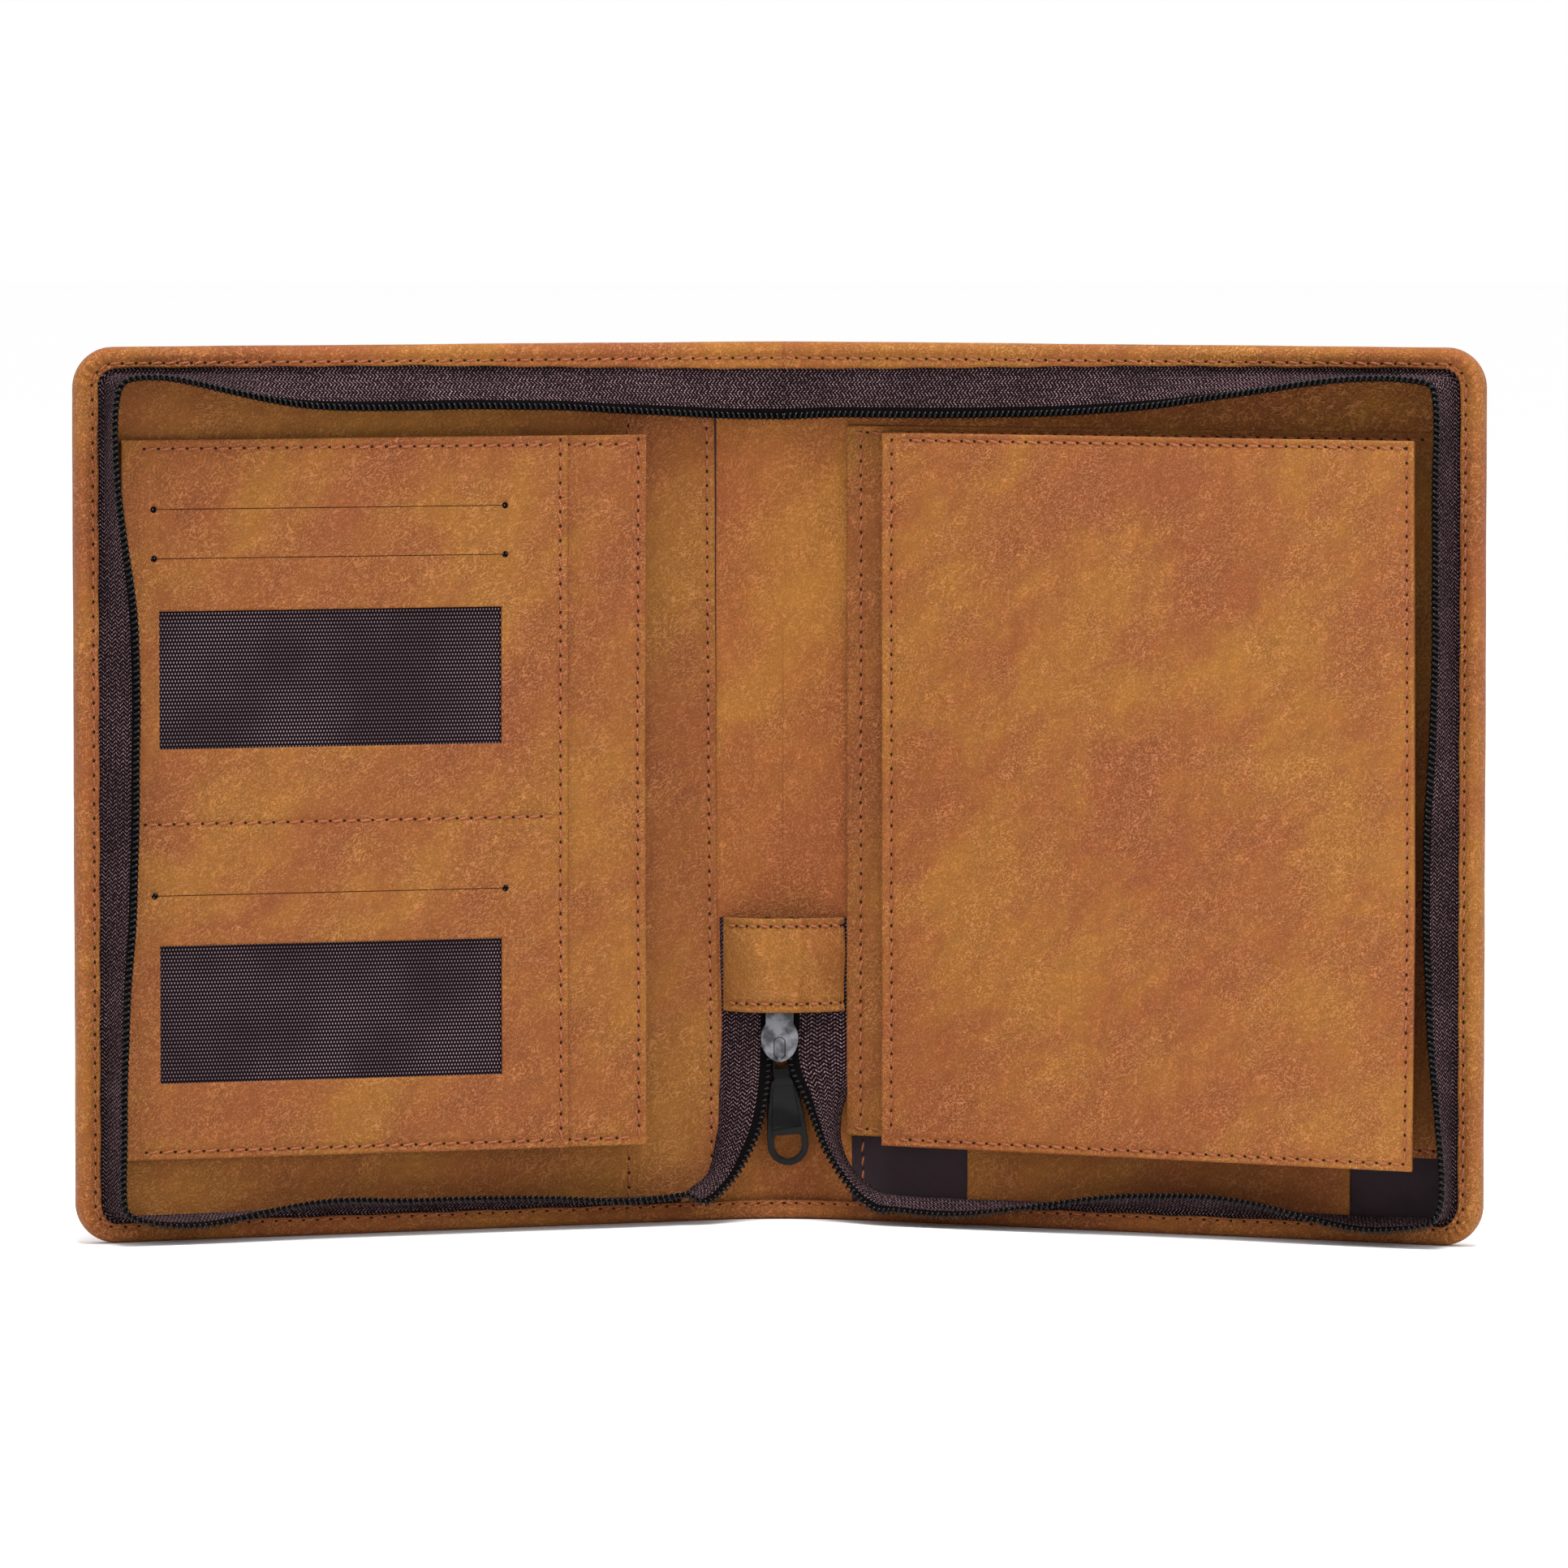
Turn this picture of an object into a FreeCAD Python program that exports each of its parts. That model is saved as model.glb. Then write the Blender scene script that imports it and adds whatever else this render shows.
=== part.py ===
"""Zip-around travel organizer standing open: two padded covers on a curved spine."""
import math
import os

import FreeCAD
import Part

V = FreeCAD.Vector

# Driving dimensions, in millimetres and degrees.
HEIGHT = 240.0
COVER_WIDTH = 184.5  # from the fold line to the outer edge
SPINE_HALF = 16.5  # from the middle of the spine to each fold line
THICK = 7.0  # a cover from its outer face to the top of its lip
CORNER = 11.0
OPEN = {-1: 20.5, 1: 23.0}  # how far each cover is folded in, left and right
FLAT_ANGLE = 23.0  # the relief behind the folds lets both covers lie flat
MITRE = 0.72
FOLD_GAP = 0.3

SKIN = 1.0
WALL = 1.8
LIP_SIDE = 7.3
LIP_TOP = 5.7
LIP_BOTTOM = 5.25
LIP_SPINE_TOP = 7.4
EDGE_ROUND = 2.9

# Layers of a cover, measured up from its outer face.
FOAM = (1.0, 2.0)
BOARD = (2.0, 3.4)
LINING = (3.4, 3.9)
FIRST = (3.9, 4.7)
SECOND = (4.7, 5.5)
TAPE_MID = 5.75
LIP_UNDER = 6.0
FOLD_W = 4.0

SPINE_R = 44.5  # front of the spine's lining
SPINE_CENTRE = -41.4

TAPE_THICK = 0.5
TAPE_SEWN = 3.4  # the margin hidden under the lip
TAPE_IN = 0.6
SPINE_TAPE_EASE = 0.4  # keeps the tape's straight steps behind the curved lip
COIL_AT = 12.5
COIL_LONG = 1.5
COIL_HIGH = 1.2
COIL_FLAT = 0.8

THREAD = 0.6
THREAD_UP = 0.2

PANEL_U = (24.5, 165.7)
PANEL_Z = (22.0, 215.2)
PANEL_HINGE = (166.0, 7.9)
PANEL_LIFT = 2.2
FACE_EDGE = 46.0
SLITS = (196.5, 183.3, 93.0)
SLIT_U = (65.5, 163.5)
SLIT_WIDE = 0.8
PUNCH = 1.1
WINDOWS = ((132.3, 169.2), (42.6, 79.5))
WINDOW_U = (66.6, 162.0)

FLAP_U = (15.1, 168.0)
FLAP_Z = (21.0, 215.5)
FLAP_HINGE = (14.8, 8.4)
FLAP_LIFT = 4.5

CHAIN_Y = -4.4
SLIDER_X = -1.2
BAND_Z = (57.5, 83.0)
PULL_PIVOT = V(SLIDER_X, -0.7, 46.9)
PULL_SKEW = 5.0

# Along a run of zip: place along the rim, and how far the tape leans (90 stands square to the cover).
LEAN_TOP = {
    -1: ((0, 20), (10, 23), (45, 33), (87, 28), (110.6, 36), (130, 53), (143, 68), (159.6, 88), (173.5, 90)),
    1: ((0, 19), (6, 19), (57, 18), (81, 28), (113.8, 49), (133.7, 66), (153.4, 88), (173.5, 90)),
}
LEAN_SIDE = {
    -1: ((11, 90), (20, 85), (36, 74), (55, 66), (83, 61), (140, 57), (166, 55), (191, 68), (203, 78), (229, 90)),
    1: ((11, 90), (24, 88), (50, 78), (88, 66), (155, 68), (179, 76), (202, 82), (229, 90)),
}
LEAN_BOTTOM = {
    -1: ((13.5, 86), (28, 94), (48, 86), (69, 74), (87, 69), (107, 67), (121, 72), (134, 86), (147.5, 104),
         (161, 106), (173.5, 96)),
    1: ((13.5, 100), (34, 101), (51, 91), (71, 80), (97, 72), (110, 71), (125, 76), (143, 96), (155, 105),
        (164.6, 96), (173.5, 92)),
}
ARC_STEPS = 4

# The zip's closed tail, from the top down: height, then the coil, the bend and the edge of the tape.
TAIL_LEFT = (
    (82.0, (-4.3, -4.4), (-8.6, -4.2), (-13.2, -0.5)),
    (56.0, (-4.3, -4.4), (-8.6, -4.2), (-13.2, -0.5)),
    (42.0, (-4.3, -4.4), (-8.6, -4.2), (-13.2, -0.5)),
    (36.4, (-4.9, -5.3), (-9.0, -5.0), (-13.6, -1.5)),
    (26.6, (-6.9, -6.9), (-10.4, -6.6), (-14.0, -3.6)),
    (17.5, (-10.9, -8.4), (-12.6, -8.2), (-14.3, -6.6)),
)
TAIL_RIGHT = (
    (82.0, (1.9, -4.4), (8.6, -4.2), (13.2, -0.5)),
    (56.0, (1.9, -4.4), (8.6, -4.2), (13.2, -0.5)),
    (42.0, (1.9, -4.4), (8.6, -4.2), (13.2, -0.5)),
    (33.3, (6.1, -5.8), (9.6, -5.6), (13.8, -2.4)),
    (26.6, (8.6, -6.9), (11.2, -6.6), (14.0, -3.8)),
    (20.2, (11.0, -8.0), (12.6, -7.8), (14.3, -6.2)),
)

ORIGIN_SHIFT = V(1.45, 38.2, 0.0)  # brings the middle of the footprint to the origin


def spot(side, u, w, z):
    """A point of a cover lying flat: out from its fold, up from its outer face, and up."""
    return V(side * (SPINE_HALF + u), FOLD_W - w, z)


def slab(side, u, w, z):
    low = spot(side, u[0], w[1], z[0])
    high = spot(side, u[1], w[0], z[1])
    left = min(low.x, high.x)
    return Part.makeBox(abs(high.x - low.x), high.y - low.y, z[1] - z[0], V(left, low.y, z[0]))


def rounded(side, u, w, z, r):
    """A plate of a cover with its two outer corners rounded."""
    k = r * (1 - math.sqrt(0.5))

    def at(a, b):
        return spot(side, a, w[0], b)

    edges = [
        Part.makeLine(at(u[0], z[0]), at(u[1] - r, z[0])),
        Part.Arc(at(u[1] - r, z[0]), at(u[1] - k, z[0] + k), at(u[1], z[0] + r)).toShape(),
        Part.makeLine(at(u[1], z[0] + r), at(u[1], z[1] - r)),
        Part.Arc(at(u[1], z[1] - r), at(u[1] - k, z[1] - k), at(u[1] - r, z[1])).toShape(),
        Part.makeLine(at(u[1] - r, z[1]), at(u[0], z[1])),
        Part.makeLine(at(u[0], z[1]), at(u[0], z[0])),
    ]
    return Part.Face(Part.Wire(edges)).extrude(V(0, w[0] - w[1], 0))


def prism(points, low, high):
    """An upright prism on a closed outline."""
    ring = [V(p.x, p.y, low) for p in points]
    return Part.Face(Part.makePolygon(ring + ring[:1])).extrude(V(0, 0, high - low))


def cover_relief(side):
    """The space a cover leaves free at its fold so that it lies flat and closes."""
    slope = math.tan(math.radians(FLAT_ANGLE))
    shape = [(-40, -8), (FOLD_GAP + (FOLD_W + 8) * slope, -8), (FOLD_GAP, FOLD_W),
             (FOLD_GAP + MITRE * 26, FOLD_W + 26), (-40, FOLD_W + 26)]
    return prism([spot(side, u, w, 0) for u, w in shape], -5, HEIGHT + 5)


def spine_relief(side):
    """The space the spine leaves free beside a fold."""
    shape = [(-0.05, -8), (-0.05, FOLD_W), (-FOLD_GAP, FOLD_W), (-FOLD_GAP - MITRE * 26, FOLD_W + 26),
             (60, FOLD_W + 26), (60, -8)]
    return fold(side, prism([spot(side, u, w, 0) for u, w in shape], -5, HEIGHT + 5))


def fold(side, shape):
    """Turns a piece of a flat cover to where it stands."""
    out = shape.copy()
    out.rotate(V(side * SPINE_HALF, 0, 0), V(0, 0, 1), -side * OPEN[side])
    return out


def lift(side, shape, hinge, angle):
    """Lifts a page of a flat cover about its own hinge."""
    out = shape.copy()
    out.rotate(spot(side, hinge[0], hinge[1], 0), V(0, 0, 1), -angle)
    return out


def soften(shape, side, radius):
    """Rounds a cover's outer edges, but not its fold."""
    fold_x = side * SPINE_HALF

    def at_rim(e):
        b = e.BoundBox
        return b.YLength < 0.01 and max(abs(b.XMin - fold_x), abs(b.XMax - fold_x)) > 0.01

    return shape.makeFillet(radius, [e for e in shape.Edges if at_rim(e)])


def cover_leather(side):
    full = rounded(side, (0, COVER_WIDTH), (0, THICK), (0, HEIGHT), CORNER)
    hollow = rounded(side, (-5, COVER_WIDTH - WALL), (SKIN, LIP_UNDER), (WALL, HEIGHT - WALL), CORNER - WALL)
    mouth = rounded(side, (-5, COVER_WIDTH - LIP_SIDE), (LIP_UNDER - 1, THICK + 1),
                    (LIP_BOTTOM, HEIGHT - LIP_TOP), CORNER - LIP_SIDE + 1)
    return soften(full, side, EDGE_ROUND).cut(hollow).cut(mouth).cut(cover_relief(side))


def cover_layer(side, w, start=0.0):
    gap = WALL + 0.1
    plate = rounded(side, (start, COVER_WIDTH - gap), w, (gap, HEIGHT - gap), CORNER - gap)
    return plate.cut(cover_relief(side))


def rim_thread(side):
    outer = (COVER_WIDTH - 4.2, 4.2)
    inner = (COVER_WIDTH - 4.2 - THREAD, 4.2 + THREAD)
    w = (THICK, THICK + THREAD_UP)
    ring = rounded(side, (5, outer[0]), w, (outer[1], HEIGHT - outer[1]), CORNER - 4)
    core = rounded(side, (0, inner[0]), (w[0] - 1, w[1] + 1), (inner[1], HEIGHT - inner[1]), CORNER - 4.6)
    return ring.cut(core)


def upright(side, u, w, z):
    """A line of stitches running up a cover."""
    return slab(side, (u - THREAD / 2, u + THREAD / 2), (w, w + THREAD_UP), z)


def level(side, u, w, z):
    """A line of stitches running across a cover."""
    return slab(side, u, (w, w + THREAD_UP), (z - THREAD / 2, z + THREAD / 2))


def lean_at(table, place):
    for (a, low), (b, high) in zip(table, table[1:]):
        if place <= b:
            return low + (high - low) * (place - a) / (b - a)
    return table[-1][1]


def corner_stations(side, top):
    """Where the zip turns a corner, from the level edge to the upright one: place, inward, lean."""
    centre_u = COVER_WIDTH - CORNER
    centre_z = HEIGHT - CORNER if top else CORNER
    reach = CORNER - (LIP_TOP if top else LIP_BOTTOM) - TAPE_IN
    sign = 1 if top else -1
    start = (LEAN_TOP if top else LEAN_BOTTOM)[side][-1][1]
    out = []
    for i in range(1, ARC_STEPS + 1):
        t = i / ARC_STEPS
        a = math.radians(90 * t)
        place = (centre_u + (CORNER - LIP_SIDE - TAPE_IN) * math.sin(a), centre_z + sign * reach * math.cos(a))
        out.append((place, (-math.sin(a), -sign * math.cos(a)), start + (90 - start) * t))
    return out


def level_stations(side, top):
    table = (LEAN_TOP if top else LEAN_BOTTOM)[side]
    out = []
    for u, lean in table:
        drop = (LIP_SPINE_TOP - LIP_TOP) * max(0.0, 1 - u / 20)
        z = HEIGHT - LIP_TOP - drop - TAPE_IN if top else LIP_BOTTOM + TAPE_IN
        out.append(((u, z), (0, -1 if top else 1), lean))
    return out + corner_stations(side, top)


def side_stations(side):
    u = COVER_WIDTH - LIP_SIDE - TAPE_IN
    return [((u, z), (-1, 0), lean) for z, lean in LEAN_SIDE[side]]


def cover_frames(side, stations):
    """Turns places on a cover into origin, inward, up and lean."""
    return [(spot(side, p[0], TAPE_MID, p[1]), V(side * i[0], 0, i[1]), V(0, -1, 0), lean)
            for p, i, lean in stations]


def spine_frames():
    """The same for the zip across the top of the spine."""
    out = []
    for x, lean in ((-18, 20), (-10, 12), (-3, 5), (5, 10), (12, 17), (18, 19)):
        a = math.asin(x / SPINE_R)
        r = SPINE_R + FOLD_W - TAPE_MID + SPINE_TAPE_EASE
        at = V(r * math.sin(a), SPINE_CENTRE + r * math.cos(a), HEIGHT - LIP_SPINE_TOP - TAPE_IN)
        out.append((at, V(0, 0, -1), V(-math.sin(a), -math.cos(a), 0), lean))
    return out


def tape_section(at, inward, up, lean):
    a = math.radians(lean)
    run = inward * math.cos(a) + up * math.sin(a)
    across = up * math.cos(a) - inward * math.sin(a)
    half = TAPE_THICK / 2
    mitre = (up * math.cos(a / 2) - inward * math.sin(a / 2)) * (half / math.cos(a / 2))
    sewn = at - inward * TAPE_SEWN
    tip = at + run * (COIL_AT - TAPE_IN * math.cos(a) - COIL_LONG)
    ring = [sewn - up * half, sewn + up * half, at + mitre, tip + across * half, tip - across * half, at - mitre]
    return Part.makePolygon(ring + ring[:1])


def coil_section(at, inward, up, lean):
    a = math.radians(lean)
    run = inward * math.cos(a) + up * math.sin(a)
    across = up * math.cos(a) - inward * math.sin(a)
    mid = at + run * (COIL_AT - TAPE_IN * math.cos(a))
    ends = ((-COIL_LONG, 0), (-COIL_FLAT, COIL_HIGH), (COIL_FLAT, COIL_HIGH), (COIL_LONG, 0),
            (COIL_FLAT, -COIL_HIGH), (-COIL_FLAT, -COIL_HIGH))
    ring = [mid + run * p + across * q for p, q in ends]
    return Part.makePolygon(ring + ring[:1])


def loft(sections):
    shape = Part.makeLoft(sections, True, True)
    if shape.Volume < 0:
        shape.reverse()
    return shape


def cover_zip(side, stations):
    """The tape and the coil of one run of zip on a cover."""
    frames = cover_frames(side, stations)
    relief = cover_relief(side)
    tape = loft([tape_section(*f) for f in frames])
    coil = loft([coil_section(*f) for f in frames])
    return tape.cut(relief), coil.cut(relief)


def sector(r, z):
    """A curved slice of the spine between two radii."""
    a = math.asin(SPINE_HALF / SPINE_R) + math.radians(4)

    def at(radius, angle):
        return V(radius * math.sin(angle), SPINE_CENTRE + radius * math.cos(angle), z[0])

    edges = [
        Part.Arc(at(r[0], -a), at(r[0], 0), at(r[0], a)).toShape(),
        Part.makeLine(at(r[0], a), at(r[1], a)),
        Part.Arc(at(r[1], a), at(r[1], 0), at(r[1], -a)).toShape(),
        Part.makeLine(at(r[1], -a), at(r[0], -a)),
    ]
    return Part.Face(Part.Wire(edges)).extrude(V(0, 0, z[1] - z[0]))


def spine_cut(shape):
    return shape.cut(spine_relief(-1)).cut(spine_relief(1))


def spine_radius(w):
    return SPINE_R + FOLD_W - w


def spine_leather():
    full = sector((spine_radius(THICK), spine_radius(0)), (0, HEIGHT))

    def at_rim(e):
        return e.BoundBox.ZLength < 0.01 and e.BoundBox.XLength > SPINE_HALF

    full = full.makeFillet(EDGE_ROUND, [e for e in full.Edges if at_rim(e)])
    hollow = sector((spine_radius(LIP_UNDER), spine_radius(SKIN)), (WALL, HEIGHT - WALL))
    mouth = sector((spine_radius(THICK + 1), spine_radius(LIP_UNDER - 1)), (LIP_BOTTOM, HEIGHT - LIP_SPINE_TOP))
    return spine_cut(full.cut(hollow).cut(mouth))


def spine_rim_thread():
    r = (spine_radius(THICK + THREAD_UP), spine_radius(THICK))
    return [spine_cut(sector(r, (z - THREAD / 2, z + THREAD / 2))) for z in (4.5, HEIGHT - 4.5)]


BAND = ((-15.0, 0.4), (-14.0, -2.6), (-10.4, -6.4), (-7.0, -8.6), (4.6, -8.6), (8.6, -6.8), (13.6, -2.8),
        (15.0, 0.4))
BAND_THICK = 1.0


def along(points, low, high):
    """A strip between two offsets of an open outline, the first one being the inner."""
    sides = []
    for i, p in enumerate(points):
        before = V(*points[max(i - 1, 0)], 0)
        after = V(*points[min(i + 1, len(points) - 1)], 0)
        run = (after - before).normalize()
        out = V(run.y, -run.x, 0)
        sides.append((V(*p, 0) + out * low, V(*p, 0) + out * high))
    return [a for a, _ in sides] + [b for _, b in reversed(sides)]


def band(low, high, z):
    return prism(along(BAND, low, high), z[0], z[1])


def tail_tape(rows, side):
    """A zip tape that runs down from under the band, its margin bent back to the spine."""
    half = TAPE_THICK / 2
    sections = []
    for z, coil, bend, edge in rows:
        start = V(coil[0] + side * (COIL_HIGH + 0.05), coil[1], z)
        line = [start, V(bend[0], bend[1], z), V(edge[0], edge[1], z)]
        back = V(0, half, 0)
        ring = [p + back for p in line] + [p - back for p in reversed(line)]
        sections.append(Part.makePolygon(ring + ring[:1]))
    return loft(sections)


def tail_coil(rows):
    ends = ((-COIL_HIGH, 0), (-0.7, COIL_HIGH), (0.7, COIL_HIGH), (COIL_HIGH, 0), (0.7, -COIL_HIGH),
            (-0.7, -COIL_HIGH))
    sections = []
    for z, coil, _, _ in rows:
        ring = [V(coil[0] + p, coil[1] + q, z) for p, q in ends]
        sections.append(Part.makePolygon(ring + ring[:1]))
    return loft(sections)


def block(x, y, z):
    return Part.makeBox(x[1] - x[0], y[1] - y[0], z[1] - z[0], V(x[0], y[0], z[0]))


PLATE_Z = (43.7, 61.0)
PLATE_HALF = 5.2
PLATE_NECK = 3.9
SHOULDER_Z = 50.4
PLATE_GAP = 1.5  # from the chain's middle to each plate
PLATE_THICK = 1.2


def shield(y):
    """One plate of the slider: a narrow top, wide shoulders and a rounded lower end."""
    z0, z1 = PLATE_Z

    def at(a, z):
        return V(SLIDER_X + a, y, z)

    edges = [
        Part.Arc(at(-PLATE_HALF, SHOULDER_Z), at(-3.5, z0 + 2.2), at(0, z0)).toShape(),
        Part.Arc(at(0, z0), at(3.5, z0 + 2.2), at(PLATE_HALF, SHOULDER_Z)).toShape(),
        Part.makeLine(at(PLATE_HALF, SHOULDER_Z), at(PLATE_NECK, SHOULDER_Z + 3)),
        Part.makeLine(at(PLATE_NECK, SHOULDER_Z + 3), at(PLATE_NECK, z1)),
        Part.makeLine(at(PLATE_NECK, z1), at(-PLATE_NECK, z1)),
        Part.makeLine(at(-PLATE_NECK, z1), at(-PLATE_NECK, SHOULDER_Z + 3)),
        Part.makeLine(at(-PLATE_NECK, SHOULDER_Z + 3), at(-PLATE_HALF, SHOULDER_Z)),
    ]
    return Part.Face(Part.Wire(edges)).extrude(V(0, PLATE_THICK, 0))


def slider_body():
    front = CHAIN_Y - PLATE_GAP - PLATE_THICK
    back = CHAIN_Y + PLATE_GAP
    post = block((SLIDER_X - 1.3, SLIDER_X + 1.3), (front + 1, back + 0.2), (45.6, 52.0))
    plates = shield(front).fuse(shield(back)).fuse(post)
    for sign in (-1, 1):
        a, b = sorted((SLIDER_X + sign * 4.6, SLIDER_X + sign * 5.1))
        plates = plates.fuse(block((a, b), (front + 1, CHAIN_Y - 0.6), (48.6, 50.6)))
        plates = plates.fuse(block((a, b), (CHAIN_Y + 0.6, back + 0.2), (48.6, 50.6)))
    return plates.removeSplitter()


def slider_bridge():
    x = (SLIDER_X - 1.2, SLIDER_X + 1.2)
    base = CHAIN_Y + PLATE_GAP + PLATE_THICK
    bar = block(x, (0.4, 1.6), (44.4, 56.0))
    low = block(x, (base, 0.6), (44.4, 45.8))
    high = block(x, (base, 0.6), (54.6, 56.0))
    return bar.fuse(low).fuse(high).removeSplitter()


def pull_outline(y, inset):
    """The tab below its neck, seen from the front: it widens to a round end."""
    x = SLIDER_X

    def at(a, z):
        return V(x + a, y, z)

    wide = 5.6 - inset
    top = 3.5 - inset
    left = [at(-top + 1, 38.6 - inset), at(-top, 37.6 - inset), at(-wide, 26.0), at(-wide, 20.5)]
    right = [at(wide, 20.5), at(wide, 26.0), at(top, 37.6 - inset), at(top - 1, 38.6 - inset)]
    edges = [Part.makeLine(a, b) for a, b in zip(left, left[1:])]
    edges.append(Part.Arc(left[-1], at(0, 20.5 - wide), right[0]).toShape())
    edges += [Part.makeLine(a, b) for a, b in zip(right, right[1:])]
    edges.append(Part.makeLine(right[-1], left[0]))
    return Part.Face(Part.Wire(edges))


def pull_hole():
    """The D-shaped hole: straight above, round below."""
    half = 3.55
    x = SLIDER_X
    z = 20.5
    edges = [
        Part.makeLine(V(x + half, -3, z), V(x + half, -3, z + 2.2)),
        Part.makeLine(V(x + half, -3, z + 2.2), V(x - half, -3, z + 2.2)),
        Part.makeLine(V(x - half, -3, z + 2.2), V(x - half, -3, z)),
        Part.Arc(V(x - half, -3, z), V(x, -3, z - half), V(x + half, -3, z)).toShape(),
    ]
    return Part.Face(Part.Wire(edges)).extrude(V(0, 6, 0))


def pull_tab():
    """A flat tab with a raised rim, hung on the slider's bridge by an open eye."""
    low, high = -1.3, -0.1
    plate = pull_outline(low, 0).extrude(V(0, high - low, 0))
    sunk = pull_outline(low, 0.9).extrude(V(0, 0.3, 0))
    collar = Part.makeCylinder(4.45, 0.3, V(SLIDER_X, low, 20.5), V(0, 1, 0))
    plate = plate.cut(sunk.cut(collar))
    neck = block((SLIDER_X - 3.1, SLIDER_X + 3.1), (low + 0.1, high), (37.0, 48.4))
    eye = block((SLIDER_X - 1.9, SLIDER_X + 1.9), (-3, 3), (41.5, 46.4))
    out = plate.fuse(neck).cut(eye).cut(pull_hole()).removeSplitter()
    out.rotate(PULL_PIVOT, V(0, 1, 0), -PULL_SKEW)
    return out


def spine_nodes():
    nodes = {
        "spine_cover_leather": spine_leather(),
        "spine_padding": spine_cut(sector((spine_radius(LINING[0]), spine_radius(SKIN)),
                                          (WALL + 0.1, HEIGHT - WALL - 0.1))),
        "spine_lining": spine_cut(sector((spine_radius(FOLD_W), spine_radius(LINING[0])),
                                         (WALL + 0.1, HEIGHT - WALL - 0.1))),
        "garage_band": band(-BAND_THICK, 0, BAND_Z),
        "zip_tape_spine_top": spine_cut(loft([tape_section(*f) for f in spine_frames()])),
        "zip_coil_spine_top": spine_cut(loft([coil_section(*f) for f in spine_frames()])),
        "zip_tail_tape_left": tail_tape(TAIL_LEFT, -1),
        "zip_tail_tape_right": tail_tape(TAIL_RIGHT, 1),
        "zip_tail_coil_left": tail_coil(TAIL_LEFT),
        "zip_tail_coil_right": tail_coil(TAIL_RIGHT),
        "thread_garage_band": Part.makeCompound(
            [band(0, THREAD_UP, (z - THREAD / 2, z + THREAD / 2)) for z in (59.7, 80.8)]),
        "thread_spine_rim": Part.makeCompound(spine_rim_thread()),
    }
    return nodes


def cover_nodes(side, name):
    """What both covers have."""
    nodes = {
        name + "_cover_leather": cover_leather(side),
        name + "_cover_foam": cover_layer(side, FOAM),
        name + "_cover_board": cover_layer(side, BOARD, 6.0),
        name + "_cover_lining": cover_layer(side, LINING),
        "thread_" + name + "_rim": rim_thread(side),
    }
    runs = {
        "top": level_stations(side, True),
        "side": side_stations(side),
        "bottom": level_stations(side, False),
    }
    for run, stations in runs.items():
        tape, coil = cover_zip(side, stations)
        nodes["zip_tape_" + name + "_" + run] = tape
        nodes["zip_coil_" + name + "_" + run] = coil
    return nodes


def left_nodes():
    side = -1
    nodes = cover_nodes(side, "left")
    nodes["left_full_pocket"] = cover_layer(side, FIRST, 1.3)
    nodes["left_inner_pocket"] = cover_layer(side, SECOND, 26.0)
    nodes["card_panel_margin"] = slab(side, (166.3, 174.6), (SECOND[1], 7.9), PANEL_Z)
    nodes["thread_left_pockets"] = Part.makeCompound([
        upright(side, 3.3, FIRST[1], (6, 232)),
        upright(side, 28.0, SECOND[1], (6, 233)),
    ])
    return {k: fold(side, s) for k, s in nodes.items()}


def panel_nodes():
    side = -1
    face = slab(side, (FACE_EDGE, PANEL_U[1]), (7.0, 7.9), PANEL_Z)
    for low, high in WINDOWS:
        face = face.cut(slab(side, WINDOW_U, (6, 9), (low, high)))
    for z in SLITS:
        face = face.cut(slab(side, SLIT_U, (6, 9), (z - SLIT_WIDE / 2, z + SLIT_WIDE / 2)))
        for u in SLIT_U:
            face = face.cut(Part.makeCylinder(PUNCH, 4, spot(side, u, 6, z), V(0, -1, 0)))
    sleeve = (FACE_EDGE + 3, PANEL_U[1] - 1)
    nodes = {
        "card_panel_back": slab(side, PANEL_U, (5.9, 6.7), PANEL_Z),
        "card_window_mesh_upper": slab(side, sleeve, (6.7, 7.0), (114.0, 212.0)),
        "card_window_mesh_lower": slab(side, sleeve, (6.7, 7.0), (25.0, 110.0)),
        "card_panel_face": face,
        "thread_card_panel": Part.makeCompound(
            [upright(side, FACE_EDGE + 2, 7.9, (23, 214)), upright(side, PANEL_U[0] + 2, 6.7, (23, 214))]
            + [level(side, (FACE_EDGE + 3, 165), 7.9, z) for z in (24.2, 112.2, 212.7)]
            + [level(side, (PANEL_U[0] + 3, FACE_EDGE - 0.5), 6.7, z) for z in (24.2, 212.7)]),
    }
    return {k: fold(side, lift(side, s, PANEL_HINGE, PANEL_LIFT)) for k, s in nodes.items()}


def right_nodes():
    side = 1
    nodes = cover_nodes(side, "right")
    top = rounded(side, (1.3, COVER_WIDTH - 2), FIRST, (190.0, HEIGHT - 2), 1.0)
    nodes["right_top_facing"] = top.common(cover_layer(side, FIRST, 1.3))
    nodes["right_bottom_facing"] = slab(side, (37.0, 147.0), FIRST, (2.0, 60.0))
    nodes["right_wide_pocket"] = slab(side, (1.3, 176.0), SECOND, (23.2, 217.3)).cut(cover_relief(side))
    nodes["pad_flap_margin"] = slab(side, (12.6, 14.5), (SECOND[1], 8.4), FLAP_Z)
    nodes["thread_right_pocket"] = Part.makeCompound(
        [upright(side, 5.4, SECOND[1], (25.8, 214.6))]
        + [level(side, u, SECOND[1], z) for z in (25.2, 215.3) for u in ((2.6, 12.2), (14.9, 175))])
    return {k: fold(side, s) for k, s in nodes.items()}


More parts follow.
